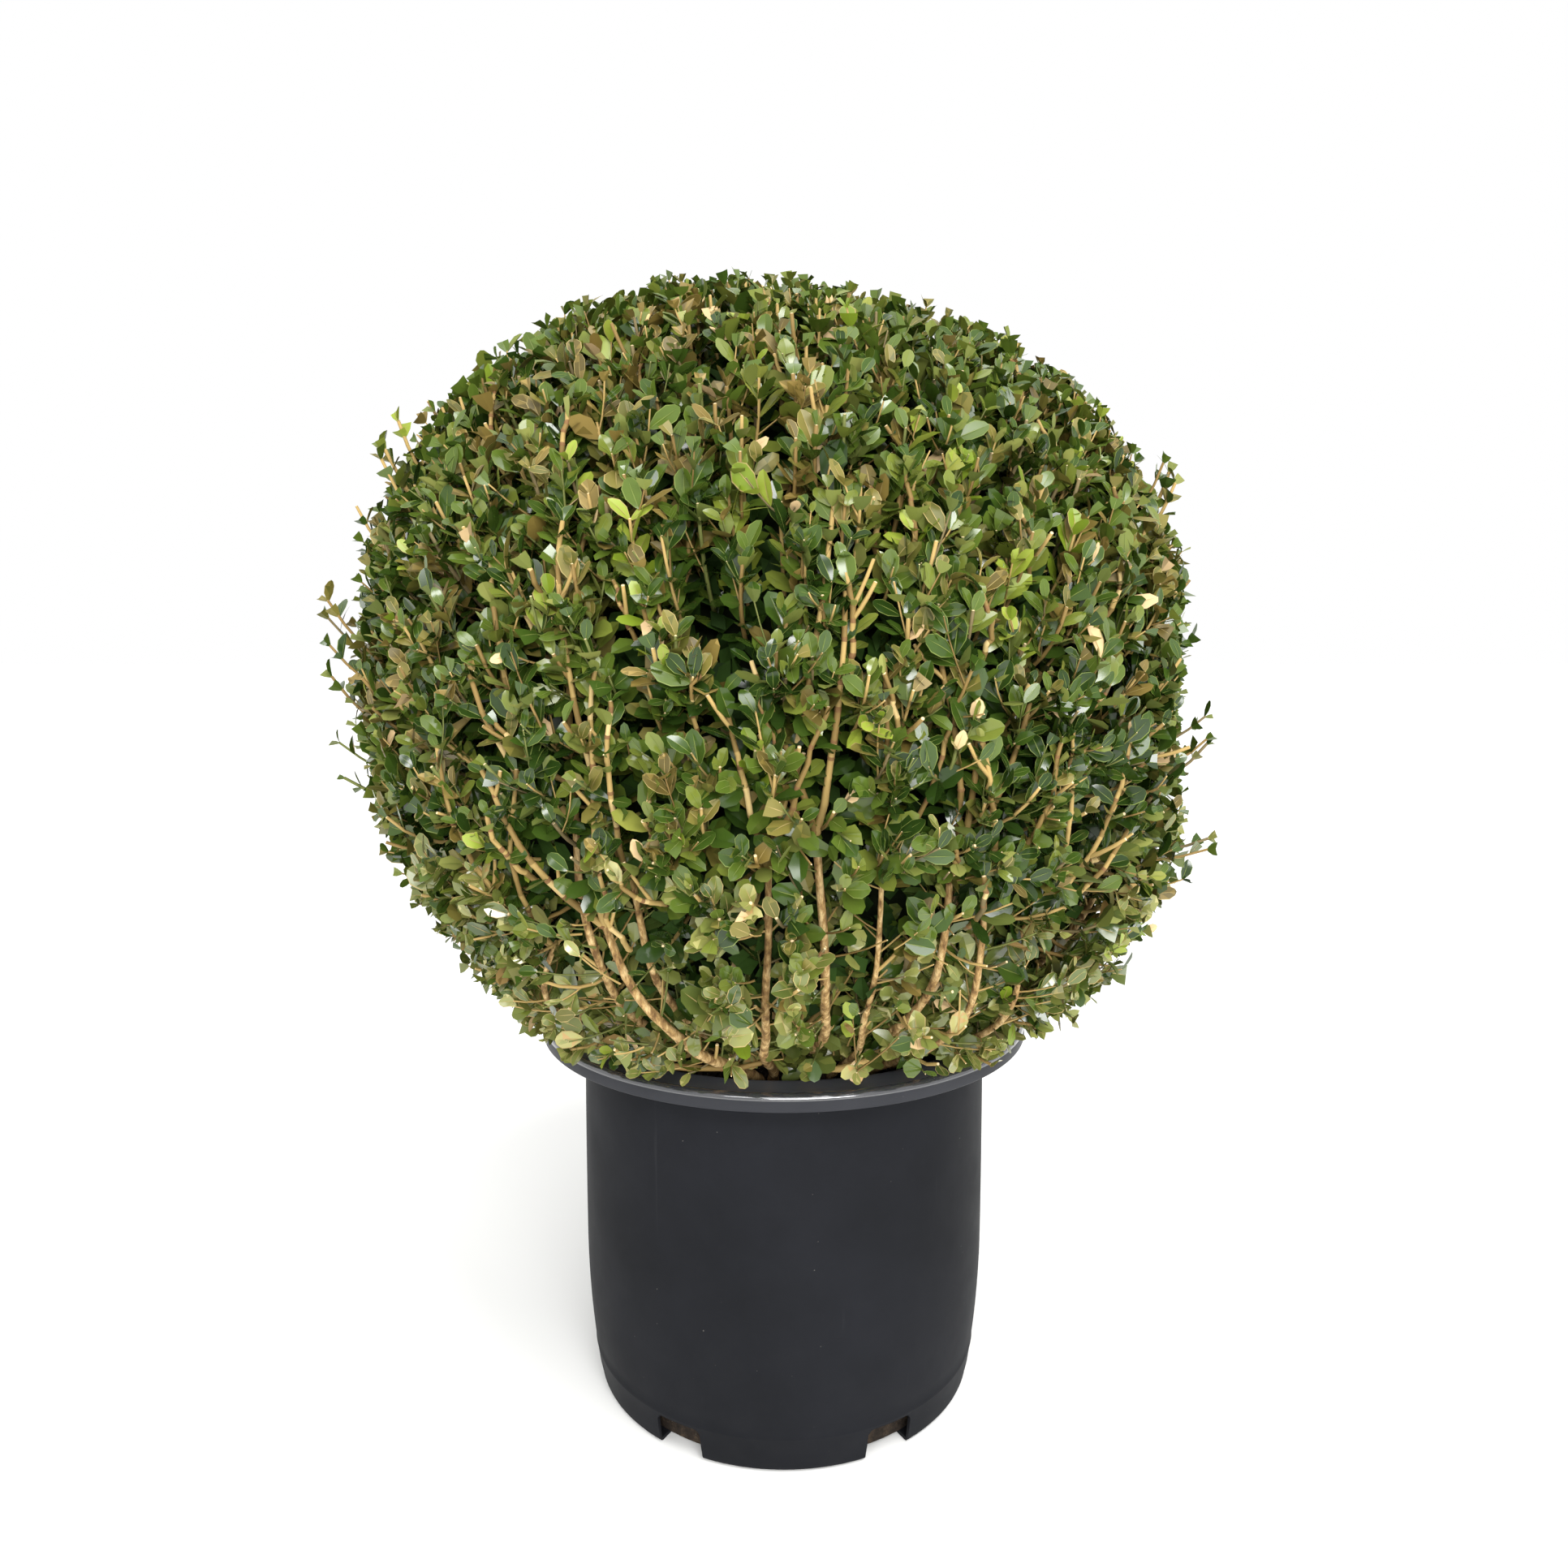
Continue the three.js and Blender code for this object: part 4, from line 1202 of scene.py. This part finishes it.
def twig_mesh(paths, base, tip, sides, joints, colours):
    """Twigs as vertices, triangles and colour numbers, with pale blunt ends."""
    radii = woody_radii(base, tip, paths.shape[1], joints, len(paths))
    vertices, triangles, is_end = tubes(paths, radii, sides)
    each = len(triangles) // len(paths)
    return vertices, triangles, np.where(is_end, CUT, np.repeat(colours, each))


def jointed_mesh(paths, base, tip, sides, joints, colours):
    """Twigs with uneven swollen joints, some of them dark, and paler or browner bark between."""
    count = len(paths)
    centre = (np.arange(joints)[None] + rng.uniform(0.12, 0.88, (count, joints))) / joints
    gap = rng.uniform(0.8, 1.5, centre.shape) * MM / lengths(paths)[:, None]
    t = np.stack([centre - gap, centre, centre + gap], -1).reshape(count, -1)
    t = np.clip(np.concatenate([np.zeros((count, 1)), t, np.ones((count, 1))], 1), 0, 1)
    fine = np.stack([at(paths, t[:, k])[0] for k in range(t.shape[1])], 1)
    fine[:, 1:-1] += np.repeat(rng.normal(0, 0.35 * MM, (count, joints, 3)), 3, axis=1)
    swell = np.ones(t.shape)
    swell[:, 2::3] += rng.uniform(0.03, 0.24, centre.shape)
    radii = (base[:, None] * (1 - t) + tip[:, None] * t) * swell * rng.normal(1, 0.03, t.shape)
    vertices, triangles, _ = tubes(fine, radii, sides)
    luck = rng.random((count, joints + 1))
    bark_tone = np.select([luck < 0.08, luck < 0.45], [PALE, BROWN], colours[:, None])
    tone = np.repeat(bark_tone, 3, axis=1)[:, : 3 * joints + 1]
    dark = np.repeat(rng.random(centre.shape) < 0.4, 2, axis=1)
    rings = np.arange(3 * joints + 1) % 3 != 0
    tone[:, rings] = np.where(dark, JOINT, tone[:, rings])
    row = np.tile(np.repeat(np.arange(t.shape[1] - 1), sides), 2)
    tone = np.concatenate([tone[:, row], np.full((count, sides), CUT)], axis=1)
    return vertices, triangles, tone.reshape(-1)


def make_twigs(name, materials, *meshes):
    """Joins twig meshes into one piece."""
    offsets = np.cumsum([0] + [len(m[0]) for m in meshes[:-1]])
    meshes = [(v, t + offset, colours) for (v, t, colours), offset in zip(meshes, offsets)]
    vertices, triangles, indices = [np.concatenate(part) for part in zip(*meshes)]
    settle(mesh_object(name, vertices, triangles, materials, indices), "bark")


def pick(paths, *shares):
    """A colour number for each path: the first has the first share, and so on up to one."""
    return np.searchsorted(shares, rng.random(len(paths)))


def make_core():
    """A dark closed shell for the dense inside of the ball: painted shade, seen only between the
    leaves.
    """
    work = bmesh.new()
    bmesh.ops.create_icosphere(work, subdivisions=5, radius=1)
    directions = np.array([v.co.normalized() for v in work.verts])
    reach = ball_reach(directions, *CORE) * 0.97
    reach = reach + rng.normal(0, 2.5 * MM, len(reach))
    for vertex, direction, distance in zip(work.verts, directions, reach):
        vertex.co = Vector(direction * distance) + Vector(MIDDLE)
    mesh = bpy.data.meshes.new("inner_thicket")
    work.to_mesh(mesh)
    work.free()
    mesh.materials.append(plain("inner_shade", (18, 24, 10), 0.95, 0.1))
    settle(add_object("inner_thicket", mesh), "foliage")


def open_before(paths, outward, boughs):
    """The shoots that leave the boughs in view: none of their outer half stands before one."""
    front = boughs[boughs[:, 1] < FRONT_OF]
    views = (boughs, 6 * MM, False), (front, 2.5 * MM, True)
    shown = ~np.any(
        [
            hides_a_limb(paths[:, k], limbs, np.full(len(limbs), clearance), from_camera)
            for limbs, clearance, from_camera in views
            for k in (-1, -2)
        ],
        axis=0,
    )
    return paths[shown], outward[shown]


def make_ball():
    leaders = grow_leaders()
    sides = grow_sides(*leaders)
    sprigs = grow_from_boughs()
    longs, long_out = grow_long_shoots()
    tops, top_out, top_girths = grow_bough_tops()
    runners = grow_rim_runners()
    rims = grow_rim_sprigs()
    # The boughs from where they come out of the mix.
    boughs = BOUGH_PATHS[:, BOUGH_SHOWN_FROM:].reshape(-1, 3)
    grown = (open_before(*kind, boughs) for kind in (leaders, sides, sprigs, rims))
    leaders, sides, sprigs, rims = grown
    bough_out, _ = seen_from(MIDDLE, BOUGH_PATHS[:, -1])
    limbs = (longs, long_out, 90), (tops, top_out, 40), (BOUGH_PATHS, bough_out, 26)
    stubs = np.concatenate([grow_stubs(*limb) for limb in limbs])
    stubs = stubs[clear_of_pot(stubs)]

    materials = [plain(f"twig_{i + 1}", c, 0.7, 0.3) for i, c in enumerate(TWIG_COLOURS)]
    materials += [plain(name, c, 0.8, 0.2) for name, c in CUT_COLOURS]
    # Least and greatest girth in millimetres, taper, sides, joints and shares of the colours.
    thin = np.concatenate([paths for paths, _ in (sides, sprigs, rims)])
    for name, paths, least, greatest, taper, around, joints, shares in (
        ("leader_shoots", leaders[0], 1.0, 1.5, 0.75, 5, 6, (0.36, 0.68, 0.86)),
        ("side_shoots", thin, 0.6, 0.85, 0.7, 3, 4, (0.4, 0.6, 0.65)),
    ):
        girth = rng.uniform(least, greatest, len(paths)) * MM
        tint = pick(paths, *shares)
        make_twigs(name, materials, twig_mesh(paths, girth, girth * taper, around, joints, tint))
    girth = rng.uniform(1.1, 1.9, len(longs)) * MM
    tip = np.full(len(tops), 1.25 * MM)
    low = np.full(len(runners), 2.3 * MM)
    short = np.full(len(stubs), 1.2 * MM)
    make_twigs(
        "strong_shoots",
        materials,
        jointed_mesh(longs, girth, girth * 0.72, 7, 9, pick(longs, 0.6, 0.85, 0.95)),
        jointed_mesh(tops, top_girths * 0.32, tip, 8, 9, pick(tops, 0.7, 1)),
        jointed_mesh(runners, low, low * 0.6, 8, 12, pick(runners, 0.3, 1)),
        twig_mesh(stubs, short, short * 0.85, 6, 2, pick(stubs, 0.7, 1)),
    )

    # Spacing of the pairs, their number, and the size of the leaves, in millimetres.
    groups, tints, first = [], [], 0
    for paths, outward, spacing, pairs, size in (
        (*leaders, 11.0, 8, 17.8),
        (*sides, 9.5, 4, 17.0),
        (*sprigs, 9.5, 4, 16.5),
        (*rims, 10.5, 5, 16.0),
        (longs, long_out, 12.0, 9, 17.5),
        (tops, top_out, 12.0, 10, 16.5),
        (runners, seen_from(MIDDLE, runners[:, -1])[0], 13.0, 10, 14.0),
    ):
        sprays = first + np.arange(len(paths))
        groups.append(deal_leaves(paths, outward, spacing * MM, pairs, sprays, size * MM))
        tints.append(spray_tints(paths[:, -1]))
        first += len(paths)
    groups.append(deal_inner_leaves(first))
    tints.append(np.array([INSIDE]))

    # How far beside each kind of limb leaves are thinned, in millimetres.
    limbs = [boughs, *(p.reshape(-1, 3) for p in (tops, longs, runners))]
    clearance = np.repeat([11.5, 2.6, 1.8, 5.5], [len(limb) for limb in limbs]) * MM
    make_leaves(groups, np.concatenate(limbs), clearance, np.concatenate(tints))
    make_core()


# --- studio ---

# Name, place, width, depth and power of the lamps.
LAMPS = (
    ("top", (0.25, -0.4, 2.6), 1.4, 1.4, 7),
    ("front", (-0.1, -2.4, 1.9), 2.2, 0.34, 27),
    ("low", (0.5, -2.4, 1.05), 1.6, 0.34, 41),
)
LAMP_AIM = Vector((0, 0, 0.5))


def make_studio():
    bpy.ops.mesh.primitive_plane_add(size=60, location=(0, 0, -0.5 * MM))
    floor = bpy.context.object
    floor.name = "floor"
    floor.data.materials.append(plain("floor_paper", (244, 244, 242), 0.9, 0.1))
    sun = bpy.data.lights.new("sun", "SUN")
    sun.energy = 1.3
    sun.angle = math.radians(22)
    add_object("sun", sun).rotation_euler = (math.radians(26), math.radians(16), 0)
    for name, spot, width, depth, power in LAMPS:
        data = bpy.data.lights.new(name, "AREA")
        data.shape = "RECTANGLE"
        data.size, data.size_y = width, depth
        data.energy = power
        lamp = add_object(name, data)
        lamp.location = spot
        lamp.rotation_euler = (LAMP_AIM - Vector(spot)).to_track_quat("-Z", "Y").to_euler()
    world = bpy.data.worlds.new("world")
    world.use_nodes = True
    sky = world.node_tree.nodes["Background"]
    sky.inputs["Color"].default_value = (1, 1, 1, 1)
    sky.inputs["Strength"].default_value = 1.0
    bpy.context.scene.world = world
    bpy.context.scene.view_settings.view_transform = "Standard"


make_camera()
make_pot()
make_mix()
make_stem_and_boughs()
make_ball()
make_studio()
